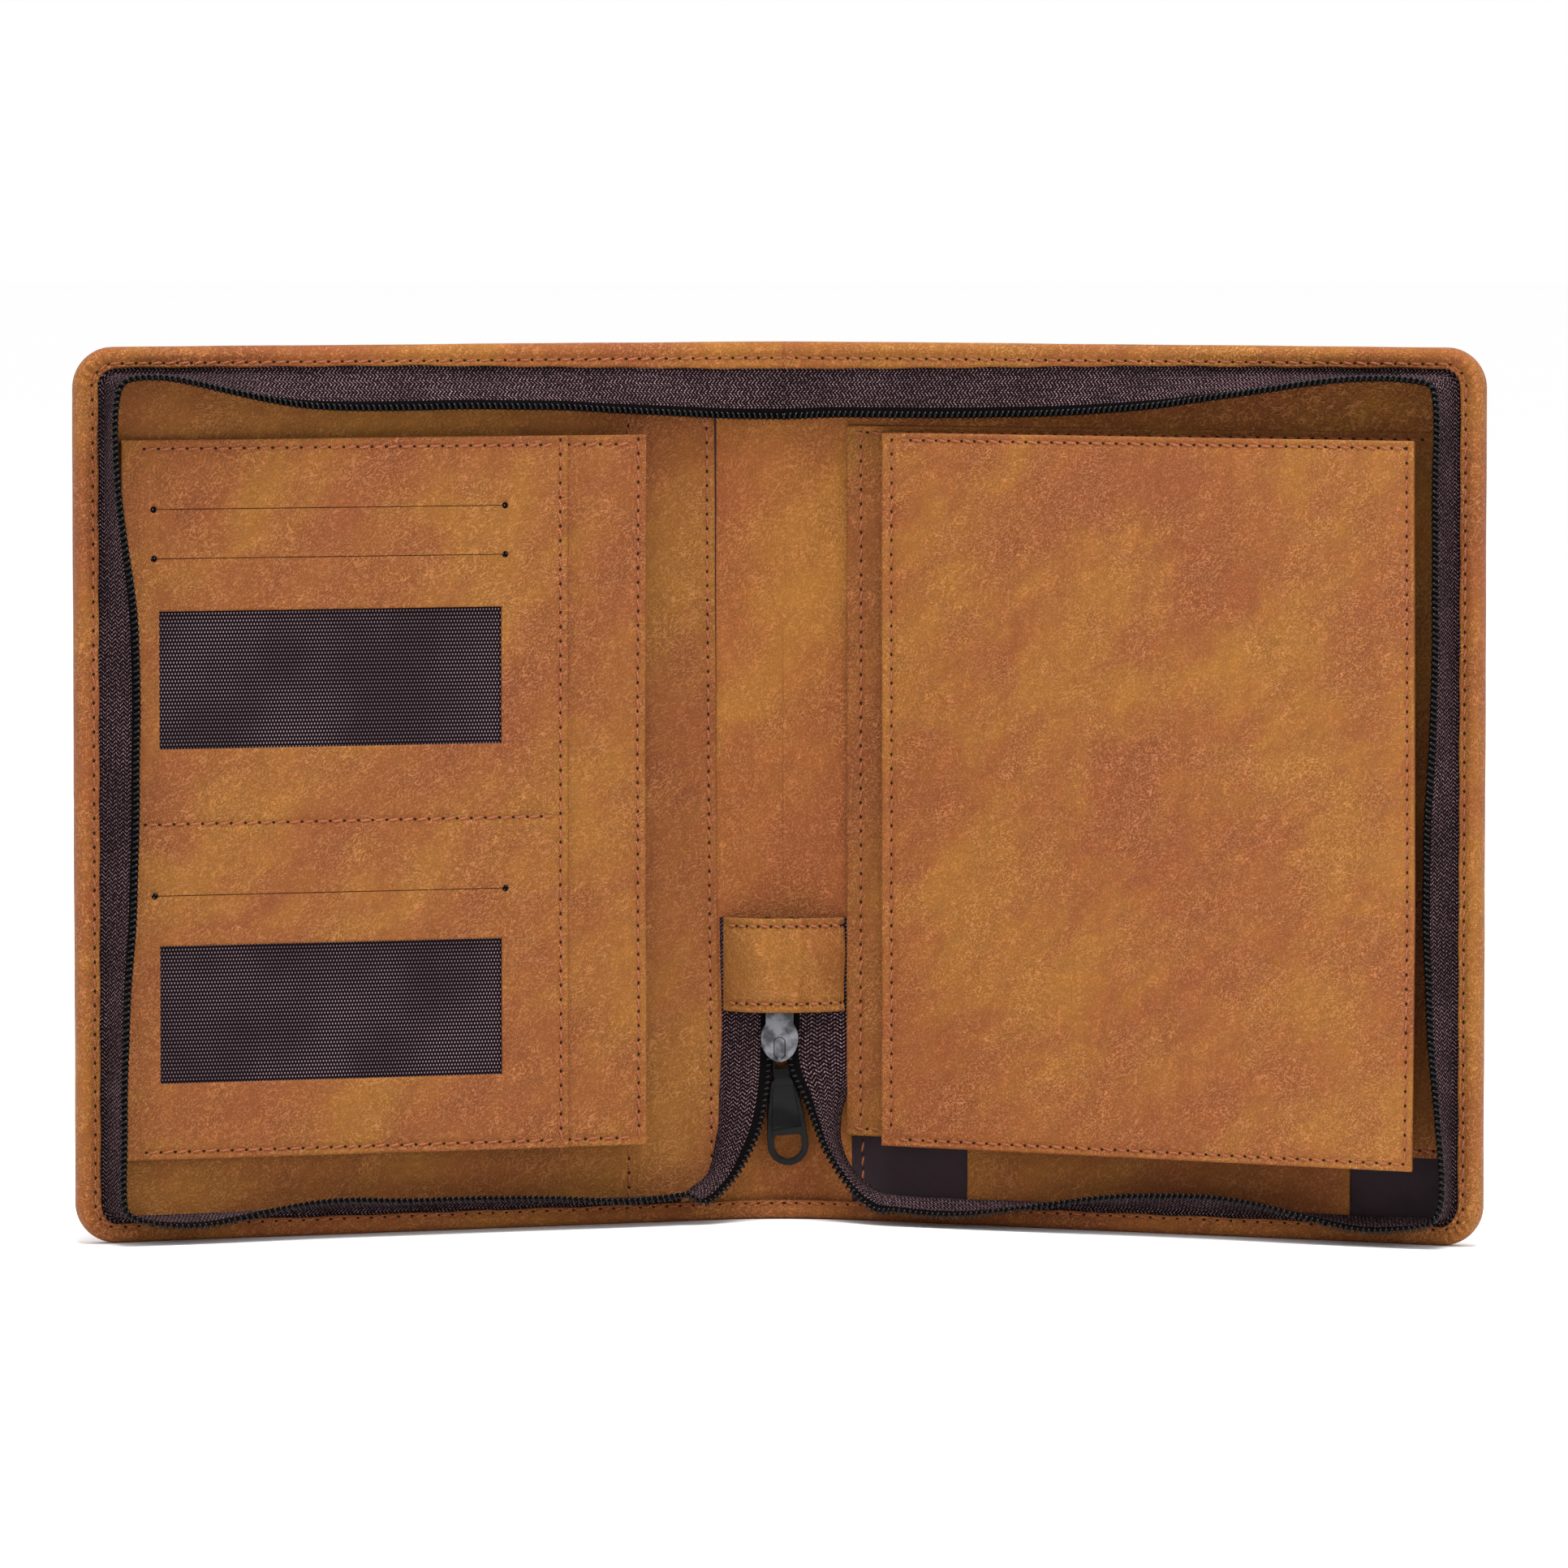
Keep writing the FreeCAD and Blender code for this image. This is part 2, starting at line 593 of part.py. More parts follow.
def flap_nodes():
    side = 1
    inner_u = (FLAP_U[0] + 3, FLAP_U[1] - 3)
    inner_z = (FLAP_Z[0] + 3, FLAP_Z[1] - 3)
    core = slab(side, inner_u, (6.6, 7.8), inner_z)
    nodes = {
        "pad_flap_front": slab(side, FLAP_U, (7.2, 8.4), FLAP_Z).cut(core),
        "pad_flap_stiffener": core,
        "pad_flap_back": slab(side, FLAP_U, (6.0, 7.2), FLAP_Z).cut(core),
        "thread_pad_flap": Part.makeCompound(
            [upright(side, u, 8.4, (23.4, 213.1)) for u in (FLAP_U[0] + 0.5, FLAP_U[1] - 2)]
            + [level(side, (FLAP_U[0], FLAP_U[1] - 2.5), 8.4, z) for z in (FLAP_Z[0] + 2, FLAP_Z[1] - 2)]),
    }
    return {k: fold(side, lift(side, s, FLAP_HINGE, FLAP_LIFT)) for k, s in nodes.items()}


def zip_pull_nodes():
    return {"slider_body": slider_body(), "slider_bridge": slider_bridge(), "pull_tab": pull_tab()}


def main():
    os.makedirs("parts", exist_ok=True)
    for make in (spine_nodes, left_nodes, panel_nodes, right_nodes, flap_nodes, zip_pull_nodes):
        for name, shape in make().items():
            shape.translate(ORIGIN_SHIFT)
            shape.exportStep("parts/" + name + ".step")


main()
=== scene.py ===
"""The look of a zip-around travel organizer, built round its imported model."""
import math
from functools import partial

import bmesh
import bpy
import numpy as np
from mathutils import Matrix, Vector


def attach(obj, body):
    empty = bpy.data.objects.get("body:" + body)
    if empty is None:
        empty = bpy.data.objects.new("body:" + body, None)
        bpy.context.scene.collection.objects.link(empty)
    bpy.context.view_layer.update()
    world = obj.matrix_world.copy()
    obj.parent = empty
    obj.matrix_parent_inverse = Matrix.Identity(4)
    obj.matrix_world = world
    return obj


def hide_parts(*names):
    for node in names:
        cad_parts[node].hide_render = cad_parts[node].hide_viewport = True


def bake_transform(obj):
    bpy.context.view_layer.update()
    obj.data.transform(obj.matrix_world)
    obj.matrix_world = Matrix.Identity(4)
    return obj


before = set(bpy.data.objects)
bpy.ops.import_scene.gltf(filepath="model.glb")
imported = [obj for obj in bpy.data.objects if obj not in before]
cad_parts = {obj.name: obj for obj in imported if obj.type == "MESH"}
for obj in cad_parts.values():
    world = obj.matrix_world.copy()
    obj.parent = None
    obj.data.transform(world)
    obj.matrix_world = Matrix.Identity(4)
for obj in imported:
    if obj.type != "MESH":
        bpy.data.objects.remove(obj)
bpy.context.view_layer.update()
MM = 0.001

# ---------------------------------------------------------------- the book's own layout, in millimetres
LEFT, RIGHT = -1, 1
NAME = {LEFT: "left", RIGHT: "right"}
HEIGHT = 240.0
COVER_WIDTH = 184.5
SPINE_HALF = 16.5
CORNER = 11.0
OPEN = {LEFT: math.radians(20.5), RIGHT: math.radians(23.0)}  # the angle between each cover and flat
FOLD_W = 4.0  # the fold lines lie this far up from the outer face
SPINE_R = 44.5
ARC_AT_FOLD = math.asin(SPINE_HALF / SPINE_R)
SPINE_CENTRE = -SPINE_R * math.cos(ARC_AT_FOLD)
SPINE_END = -ARC_AT_FOLD * SPINE_R
LAP = 0.25  # each half of the spine runs this far past its middle, so that no line shows there
SPINE_START = SPINE_END - LAP
SHIFT = np.array([1.45, 38.2, 0.0])  # brings the middle of the footprint to the origin

# How far the rolled lip reaches in from the edge. The top lip grows deeper towards the spine.
LIP_SIDE = 6.1
LIP_TOP = 5.7
LIP_SPINE_TOP = 7.4
LIP_BOTTOM = 5.25
DEEPER_WITHIN = 90.0
TAPE_IN = 0.6  # from the lip's edge to where the tape starts to bend up
TAPE_W = 5.75  # the tape's height above the outer face
COIL_AT = 12.4  # across the tape, from its bend
TAPE_END = 13.2

# The hinges of the two pages, as how far out from the fold and how far up from the outer face
PANEL_HINGE = (166.0, 7.9)
PANEL_LIFT = math.radians(2.2)
PANEL_BEND = (163.0, 169.0)  # the stretch over which the page bends up to its lift
PANEL_Z = (22.0, 215.2)
FLAP_HINGE = (14.8, 8.4)
FLAP_LIFT = math.radians(4.5)
FLAP_BEND = (13.0, 17.0)
FLAP_Z = (21.0, 215.5)


def book(side, p):
    """World places of points given as out from the fold, up from the outer face, and height.
    Points before the fold lie on the curved spine."""
    u, w, z = p[..., 0], p[..., 1], p[..., 2]
    up = w - FOLD_W
    arc = ARC_AT_FOLD + u / SPINE_R
    c, s = math.cos(OPEN[side]), math.sin(OPEN[side])
    x = np.where(u >= 0, SPINE_HALF + u * c - up * s, (SPINE_R - up) * np.sin(arc))
    y = np.where(u >= 0, -u * s - up * c, SPINE_CENTRE + (SPINE_R - up) * np.cos(arc))
    return (np.stack([side * x, y, z], -1) + SHIFT) * MM


def spine_place(p):
    """World places of points given about the middle of the spine, in millimetres."""
    return (np.asarray(p, float) + SHIFT) * MM


def turned(p, hinge, angle, sense):
    """Points turned about a hinge that runs up the book."""
    du, dw = p[..., 0] - hinge[0], p[..., 1] - hinge[1]
    c, s = np.cos(angle), np.sin(angle)
    return np.stack([hinge[0] + du * c - sense * dw * s, hinge[1] + dw * c + sense * du * s, p[..., 2]], -1)


def step_between(a, b, x):
    """Runs smoothly from 0 at a to 1 at b."""
    t = np.clip((np.asarray(x, float) - a) / (b - a), 0, 1)
    return t * t * (3 - 2 * t)


def run_along(path):
    """How far along a path each of its points lies."""
    return np.concatenate([[0], np.cumsum(np.linalg.norm(np.diff(path, axis=0), axis=1))])


def read_at(at, run, values):
    """Rows of numbers, read at places along a run."""
    return np.stack([np.interp(at, run, values[:, k]) for k in range(values.shape[1])], -1)


def unit(v):
    return v / np.maximum(np.linalg.norm(v, axis=-1, keepdims=True), 1e-12)


def panel_place(p):
    lift = PANEL_LIFT * step_between(*PANEL_BEND[::-1], p[..., 0])
    return book(LEFT, turned(p, PANEL_HINGE, lift, -1))


def flap_place(p):
    lift = FLAP_LIFT * step_between(*FLAP_BEND, p[..., 0])
    return book(RIGHT, turned(p, FLAP_HINGE, lift, 1))


COVER_PLACE = {side: partial(book, side) for side in (LEFT, RIGHT)}


def wave(a, b, seed, size=1.0):
    """A smooth unevenness of a few hundredths up to a few tenths of a millimetre."""
    s = seed * 1.7
    return size * (0.11 * np.sin(a / 19 + s) * np.cos(b / 27 - s) + 0.08 * np.sin(a / 9.5 + b / 13 + 2 * s)
                   + 0.05 * np.cos(b / 7.3 - a / 15 + 3 * s) + 0.09 * np.sin(b / 41 + s))


# ---------------------------------------------------------------- materials
def srgb(r, g, b):
    """A screen colour as the linear one that a shader takes."""
    def one(c):
        c /= 255
        return c / 12.92 if c <= 0.04045 else ((c + 0.055) / 1.055) ** 2.4
    return (one(r), one(g), one(b), 1.0)


class Graph:
    """A material's nodes, added one call at a time."""

    def __init__(self, name, **finish):
        self.mat = bpy.data.materials.new(name)
        self.mat.use_nodes = True
        self.tree = self.mat.node_tree
        self.tree.nodes.clear()
        out = self.tree.nodes.new("ShaderNodeOutputMaterial")
        self.shader = self.tree.nodes.new("ShaderNodeBsdfPrincipled")
        self.tree.links.new(self.shader.outputs[0], out.inputs[0])
        for key, value in finish.items():
            self.shader.inputs[key.replace("_", " ")].default_value = value

    def put(self, socket, value):
        if isinstance(value, bpy.types.NodeSocket):
            self.tree.links.new(value, socket)
        else:
            socket.default_value = value

    def add(self, kind, out=0, inputs=None, **props):
        n = self.tree.nodes.new("ShaderNode" + kind)
        for key, value in props.items():
            setattr(n, key, value)
        for key, value in (inputs or {}).items():
            self.put(n.inputs[key], value)
        return n.outputs[out]

    def math(self, op, a, b=0.0, c=0.0):
        return self.add("Math", 0, {0: a, 1: b, 2: c}, operation=op)

    def times(self, a, b):
        return self.math("MULTIPLY", a, b)

    def waves(self, value, pitch):
        return self.math("SINE", self.times(value, 2 * math.pi / pitch))

    def where(self, name="grain_at", offset=(0, 0, 0)):
        """The place on the piece, in millimetres, before anything was bent."""
        at = self.add("Attribute", 1, attribute_name=name)
        return self.add("Mapping", 0, {"Vector": at, "Scale": (1 / MM,) * 3, "Location": offset})

    def noise(self, vector, size, detail=2.0, rough=0.5, out=0):
        return self.add("TexNoise", out, {"Vector": vector, "Scale": 1.0 / size, "Detail": detail,
                                          "Roughness": rough, "Distortion": 0.0})

    def ridges(self, vector, size, detail, width):
        """Thin winding lines, where the noise is near its middle value."""
        away = self.math("ABSOLUTE", self.math("SUBTRACT", self.noise(vector, size, detail, 0.5), 0.5))
        return self.ramp(away, width, 0.0)

    def pushed(self, vector, size, amount):
        """A place, pushed about by noise."""
        push = self.add("VectorMath", 0, {0: self.noise(vector, size, out=1), 3: amount}, operation="SCALE")
        return self.add("VectorMath", 0, {0: vector, 1: push}, operation="ADD")

    def leaned(self, vector, slope, stretch):
        """A place, turned along a slope and drawn out that way."""
        leaned = self.add("Mapping", 0, {"Vector": vector, "Rotation": (0.0, slope, 0.0)})
        return self.add("Mapping", 0, {"Vector": leaned, "Scale": (stretch, 1.0, 1.0)})

    def ramp(self, value, low, high, to_low=0.0, to_high=1.0):
        return self.add("MapRange", 0, {0: value, 1: low, 2: high, 3: to_low, 4: to_high},
                        interpolation_type="SMOOTHSTEP")

    def mix(self, share, a, b):
        n = self.tree.nodes.new("ShaderNodeMix")
        n.data_type = "RGBA"
        for socket, value in ((n.inputs[0], share), (n.inputs[6], a), (n.inputs[7], b)):
            self.put(socket, value)
        return n.outputs[2]

    def split(self, vector):
        n = self.tree.nodes.new("ShaderNodeSeparateXYZ")
        self.put(n.inputs[0], vector)
        return n.outputs

    def bump(self, height, depth):
        """Relief whose height runs from 0 to 1 over a depth in millimetres."""
        self.put(self.shader.inputs["Normal"],
                 self.add("Bump", 0, {"Height": height, "Distance": depth * MM, "Strength": 1.0}))

    def colour(self, value):
        self.put(self.shader.inputs["Base Color"], value)

    def rough(self, value):
        self.put(self.shader.inputs["Roughness"], value)


# The leather's tones: rubbed, plain, deep coloured, then painted shade for the grain's hollows and a painted
# highlight for its ridge tops
GOLD = srgb(168, 108, 38)
TAN = srgb(158, 92, 37)
RUST = srgb(149, 80, 37)
HOLLOW_SHADE = srgb(78, 36, 16)
RIDGE_HIGHLIGHT = srgb(216, 150, 102)


def leather(name, offset, grain=0.68, relief=0.26, patch=1.0, light=1.0, slope=0.75, stretch=0.5, wear_and_highlight=0.46):
    """Pull-up leather: rust smears rubbed to gold, under a fine worm-like grain that leans along a slope. The
    grain's hollows get painted shade and its ridges a painted highlight.
    """
    g = Graph(name, Specular_IOR_Level=0.2)
    at = g.where(offset=offset)
    smear = g.leaned(g.pushed(at, 30.0, 22.0), slope, 0.5)
    wide = g.noise(smear, 30.0 * patch, 2.0, 0.45)
    smudge = g.noise(smear, 6.0 * patch)
    rub = g.math("ADD", g.times(wide, 0.72), g.times(smudge, 0.28))
    base = g.mix(g.ramp(rub, 0.33, 0.52), RUST, TAN)
    base = g.mix(g.ramp(rub, 0.46, 0.64, 0.0, 0.95), base, GOLD)
    drawn = g.leaned(g.pushed(at, 9.0, 5.0), slope, stretch)
    coarse = g.ridges(drawn, grain, 2.0, 0.085)
    fine = g.ridges(drawn, grain * 0.45, 1.0, 0.1)
    worm = g.math("ADD", g.times(coarse, 0.66), g.times(fine, 0.34))
    share = g.ramp(g.noise(at, 14.0), 0.3, 0.7, 0.6, 1.15)
    # painted shade: the grain's hollows are darkened
    base = g.mix(g.times(g.ramp(worm, 0.3, 0.0, 0.0, 0.48), share), base, HOLLOW_SHADE)
    # painted highlight: the grain's ridge tops are lightened, up to the leather's highlight share
    base = g.mix(g.times(g.ramp(worm, 0.32, 0.95, 0.0, wear_and_highlight), share), base, RIDGE_HIGHLIGHT)
    g.colour(g.add("HueSaturation", 0, {"Value": light, "Color": base}))
    g.bump(worm, relief)
    g.rough(g.ramp(worm, 0.0, 1.0, 0.66, 0.46))
    return g.mat


def tape_material():
    """Knitted zip tape: rows of small chevrons whose raised stitches are painted pale as a highlight, and a
    black band under the coil, painted for the coil's sewing thread and the shade beside it.
    """
    g = Graph("zip_tape_woven", Specular_IOR_Level=0.03)
    at = g.where("strip_at")
    along, across, _ = g.split(at)
    chevron = 1.25
    zig = g.times(g.math("PINGPONG", across, chevron), 0.9)
    ribs = g.waves(g.math("ADD", along, zig), 1.05)
    yarns = g.waves(across, chevron / 2)
    stitch = g.times(g.ramp(ribs, -0.1, 0.9), g.ramp(yarns, -0.5, 0.7, 0.25, 1.0))
    # how strongly the painted highlight shows on the stitches, varied by noise
    wear_and_highlight = g.times(g.ramp(g.noise(at, 0.9), 0.36, 0.66, 0.16, 1.0),
                   g.ramp(g.noise(at, 16.0), 0.3, 0.7, 0.6, 1.0))
    edge = g.ramp(across, 10.6, 10.2)
    knit = g.times(stitch, edge)
    # painted highlight: the raised stitches are painted pale on the dark yarn
    base = g.mix(g.times(knit, wear_and_highlight), srgb(15, 8, 9), srgb(186, 150, 158))
    # past the edge line the tape is painted black: partly the coil's sewing thread, partly painted shade
    # beside the coil
    g.colour(g.mix(edge, srgb(9, 7, 8), base))
    g.bump(knit, 0.3)
    g.rough(g.ramp(knit, 0.0, 1.0, 0.95, 0.7))
    return g.mat


def coil_material():
    g = Graph("zip_coil_nylon", Specular_IOR_Level=0.2)
    at = g.where("strip_at")
    wear_and_highlight = g.ramp(g.noise(at, 3.0), 0.4, 0.7)
    g.colour(g.mix(wear_and_highlight, srgb(6, 5, 6), srgb(15, 13, 14)))
    g.bump(g.noise(at, 0.25), 0.02)
    g.rough(g.ramp(wear_and_highlight, 0.0, 1.0, 0.16, 0.28))
    return g.mat


def mesh_material():
    """The dark woven fabric behind the card windows: rows of small raised yarns, each row set off by half."""
    g = Graph("card_window_weave", Specular_IOR_Level=0.05)
    at = g.where()
    x, _, z = g.split(at)
    shifted = g.math("ADD", g.math("DIVIDE", x, 0.86), g.times(g.math("FLOOR", z), 0.5))
    a = g.waves(shifted, 1.0)
    b = g.waves(g.math("FRACT", z), 2.0)
    dots = g.ramp(g.times(g.math("MULTIPLY_ADD", a, 0.5, 0.5), b), 0.46, 0.86)
    drift = g.ramp(g.noise(at, 24.0), 0.32, 0.68, 0.5, 1.0)
    g.colour(g.mix(g.times(dots, drift), srgb(17, 9, 12), srgb(148, 126, 133)))
    g.bump(dots, 0.2)
    g.rough(g.ramp(dots, 0.0, 1.0, 0.75, 0.45))
    return g.mat


def nylon_material():
    g = Graph("nylon_lining_cloth", Specular_IOR_Level=0.25)
    at = g.where()
    x, _, z = g.split(at)
    cloth = g.ramp(g.times(g.waves(x, 0.42), g.waves(z, 0.42)), -1.0, 1.0)
    base = g.mix(cloth, srgb(28, 17, 22), srgb(50, 33, 40))
    g.colour(g.mix(g.ramp(g.noise(at, 9.0, 3.0), 0.4, 0.7, 0.0, 0.35), base, srgb(22, 15, 19)))
    g.bump(g.math("ADD", cloth, g.times(g.noise(at, 6.0), 2.0)), 0.12)
    g.rough(g.ramp(cloth, 0.0, 1.0, 0.62, 0.48))
    return g.mat


def thread_material(name, light, dark):
    g = Graph(name, Specular_IOR_Level=0.2)
    at = g.where("strip_at")
    along, across, _ = g.split(at)
    lay = g.ramp(g.waves(g.math("ADD", along, g.times(across, 0.8)), 0.7), -0.9, 0.9)
    g.colour(g.mix(g.times(lay, g.ramp(g.noise(at, 30.0), 0.3, 0.7, 0.6, 1.0)), dark, light))
    g.bump(lay, 0.09)
    g.rough(g.ramp(lay, 0.0, 1.0, 0.7, 0.5))
    return g.mat


def hole_material():
    g = Graph("needle_hole_shadow", Specular_IOR_Level=0.1)
    at = g.where()
    g.colour(g.mix(g.noise(at, 1.2), srgb(26, 10, 7), srgb(58, 26, 15)))
    g.bump(g.noise(at, 0.4), 0.05)
    g.rough(g.ramp(g.noise(at, 1.0), 0.2, 0.8, 0.8, 0.95))
    return g.mat


def metal_material(name, light, dark, metallic, gloss, low, high, grit):
    g = Graph(name, Metallic=metallic, Specular_IOR_Level=gloss)
    at = g.where()
    wear_and_highlight = g.ramp(g.noise(at, 3.5), 0.35, 0.68)
    g.colour(g.mix(wear_and_highlight, dark, light))
    g.bump(g.noise(at, grit), 0.012)
    g.rough(g.ramp(g.noise(at, 2.4), 0.3, 0.7, low, high))
    return g.mat


def core_material(name, light, dark, size):
    """The stiff board and the foam inside the covers."""
    g = Graph(name, Specular_IOR_Level=0.3)
    at = g.add("Mapping", 0, {"Vector": g.add("TexCoord", 3), "Scale": (1 / MM,) * 3})
    pores = g.add("TexVoronoi", 0, {"Vector": at, "Scale": 1.0 / size})
    g.colour(g.mix(g.ramp(pores, 0.1, 0.8), dark, light))
    g.bump(pores, 0.2)
    g.rough(g.ramp(pores, 0.0, 1.0, 0.95, 0.8))
    return g.mat


# The light value sets how bright each copy of the leather is: partly each piece's own tone, partly painted
# shade for the pockets, card panel, facing, band and spine lining.
COVER_LEATHER = leather("leather_cover", (71.0, 13.0, 17.0), 0.9, 0.34, 1.3, 0.96, 0.75, 0.6, 0.44)
LINING_LEATHER = leather("leather_spine_lining", (5.0, 1.0, 33.0), 0.68, 0.22, 1.5, 0.9, 0.9, 0.55, 0.38)
POCKET_LEATHER = leather("leather_pockets", (301.0, 9.0, 57.0), 0.7, 0.26, 1.2, 0.76)
PANEL_LEATHER = leather("leather_card_panel", (151.0, 5.0, 95.0), 0.68, 0.26, 1.0, 0.83)
FLAP_LEATHER = leather("leather_pad_flap", (401.0, 27.0, 215.0), 0.62, 0.26, 0.9, 0.97, 0.6, 0.55, 0.48)
FACING_LEATHER = leather("leather_facing_pebbled", (611.0, 29.0, 25.0), 1.7, 0.5, 1.3, 0.8, 0.3, 0.75, 0.36)
BAND_LEATHER = leather("leather_garage_band", (811.0, 2.0, 5.0), 0.68, 0.24, 1.2, 0.8, 0.9, 0.55, 0.42)
TAPE = tape_material()
COIL = coil_material()
WINDOW = mesh_material()
NYLON = nylon_material()
THREAD = thread_material("thread_rust", srgb(186, 118, 80), srgb(120, 60, 36))
HOLE = hole_material()
SLIDER = metal_material("slider_grey_metal", srgb(112, 112, 117), srgb(58, 58, 61), 0.92, 0.4, 0.18, 0.3, 1.6)
PULL = metal_material("pull_black_enamel", srgb(8, 8, 9), srgb(4, 4, 5), 0.0, 0.14, 0.14, 0.24, 1.5)
BOARD = core_material("core_grey_board", srgb(150, 142, 130), srgb(96, 90, 82), 0.5)
FOAM = core_material("core_white_foam", srgb(226, 222, 212), srgb(180, 176, 166), 0.4)


# ---------------------------------------------------------------- mesh building
def layer(mesh, name, values):
    """Keeps a vector at each point of a mesh, under a name."""
    made = mesh.attributes.get(name) or mesh.attributes.new(name, "FLOAT_VECTOR", "POINT")
    made.data.foreach_set("vector", np.asarray(values, np.float32).ravel())


def make_object(name, points, faces, materials, grain=None, strip=None, slots=None):
    """A smooth mesh object. grain and strip are each point's place for the materials, in millimetres."""
    mesh = bpy.data.meshes.new(name)
    mesh.from_pydata(np.asarray(points, float).tolist(), [], [tuple(int(i) for i in f) for f in faces])
    if grain is not None:
        layer(mesh, "grain_at", np.asarray(grain) * MM)
    if strip is not None:
        layer(mesh, "strip_at", np.asarray(strip) * MM)
    mesh.polygons.foreach_set("use_smooth", [True] * len(mesh.polygons))
    for m in materials if isinstance(materials, (list, tuple)) else [materials]:
        mesh.materials.append(m)
    if slots is not None:
        mesh.polygons.foreach_set("material_index", slots)
    obj = bpy.data.objects.new(name, mesh)
    bpy.context.scene.collection.objects.link(obj)
    return obj


def edit(obj, change):
    """Opens a mesh, makes a change in it and closes it again."""
    bm = bmesh.new()
    bm.from_mesh(obj.data)
    change(bm)
    bm.to_mesh(obj.data)
    bm.free()
    return obj


def outward(obj):
    """Turns every face of a closed mesh outwards."""
    return edit(obj, lambda bm: bmesh.ops.recalc_face_normals(bm, faces=bm.faces))


def weld(obj, distance, cut_at=None, near=0.01):
    """Joins points that lie together and turns every face outwards. Faces where x is cut_at stay flat."""
    def change(bm):
        bmesh.ops.remove_doubles(bm, verts=bm.verts, dist=distance)
        bmesh.ops.dissolve_degenerate(bm, dist=distance / 4, edges=bm.edges)
        bmesh.ops.recalc_face_normals(bm, faces=bm.faces)
        for f in bm.faces:
            f.smooth = cut_at is None or any(abs(v.co.x - cut_at) > near for v in f.verts)
    return edit(obj, change)


def bake(obj, kind, **settings):
    """Puts a modifier's result on a mesh for good."""
    tool = obj.modifiers.new("tool", kind)
    for key, value in settings.items():
        setattr(tool, key, value)
    bpy.context.view_layer.update()
    done = bpy.data.meshes.new_from_object(obj.evaluated_get(bpy.context.evaluated_depsgraph_get()))
    obj.modifiers.clear()
    old, obj.data = obj.data, done
    name = old.name
    bpy.data.meshes.remove(old)
    done.name = name
    done.polygons.foreach_set("use_smooth", [True] * len(done.polygons))


def points_of(mesh):
    flat = np.zeros(len(mesh.vertices) * 3)
    mesh.vertices.foreach_get("co", flat)
    return flat.reshape(-1, 3)


def move(mesh, points):
    mesh.vertices.foreach_set("co", points.ravel())
    mesh.update()


def grid(rows, cols, closed=False):
    """Quads between rows of points, one row after another."""
    i = np.arange(rows - 1)[:, None] * cols
    j = np.arange(cols if closed else cols - 1)[None, :]
    k = (j + 1) % cols
    return np.stack([i + j, i + k, i + cols + k, i + cols + j], -1).reshape(-1, 4)


def tube(rows, cols):
    """The faces of a tube of rings, closed at both ends."""
    ends = [tuple(range(cols))[::-1], tuple(range((rows - 1) * cols, rows * cols))]
    return [tuple(f) for f in grid(rows, cols, closed=True)] + ends


BY_EDGE = (0.12, 0.35, 0.8)
BY_SEAM = (-1.1, -0.5, 0.0, 0.5, 1.1)
BY_HOLE = (0.0, 0.1, 0.3, 0.8)


def lines(low, high, step, seams=()):
    """Grid lines from one edge to the other, closer beside the edges and the seams."""
    marks = [low, high] + [low + e for e in BY_EDGE] + [high - e for e in BY_EDGE]
    marks += [s + o for s in seams for o in BY_SEAM]
    marks += list(np.linspace(low, high, max(2, int((high - low) / step)) + 1)[1:-1])
    marks = sorted(m for m in marks if low <= m <= high)
    keep = [marks[0]]
    for m in marks[1:]:
        if m - keep[-1] > 0.1 or m == high:
            keep.append(m)
    return np.array(keep)


def hole_lines(holes, axis):
    """Grid lines round openings, each with its own border lines."""
    return [mark for h in holes for o in BY_HOLE for mark in (h[axis][0] - o, h[axis][1] + o)]


def merge_lines(base, extra):
    """Keeps every border line and drops ordinary lines that crowd it."""
    extra = np.array(sorted(set(extra)))
    if len(extra):
        base = np.array([b for b in base if np.abs(extra - b).min() > 0.15])
    return np.array(sorted(set(np.concatenate([base, extra]).round(5))))


def crown(d, radius):
    """The share of its full height that a rounded edge has at a distance in."""
    t = np.clip(1 - d / radius, 0, 1)
    return np.sqrt(np.clip(1 - t * t, 0, 1))


SEAM_WIDE = 0.75
SEAM_DEEP = 0.34
SLIT_SHARPER = 3.5  # the edges of a slit are this much less rounded


def within(low, high, x):
    return step_between(low - 1, low + 1, x) * step_between(high + 1, high - 1, x)


def seam_dip(u, z, seams_u, seams_z, ends_u, ends_z):
    """How far a line of stitches pulls the leather in."""
    dip = np.zeros_like(u)
    for a, seams, b, ends in ((u, seams_u, z, ends_z), (z, seams_z, u, ends_u)):
        for s in seams:
            dip = np.maximum(dip, np.exp(-((a - s) / SEAM_WIDE) ** 2) * within(*ends, b))
    return dip


def rect_distance(u, z, hole):
    """How far each point is from a rectangle, 0 inside it."""
    du = np.maximum(np.maximum(hole[0][0] - u, u - hole[0][1]), 0)
    dz = np.maximum(np.maximum(hole[1][0] - z, z - hole[1][1]), 0)
    return np.hypot(du, dz)


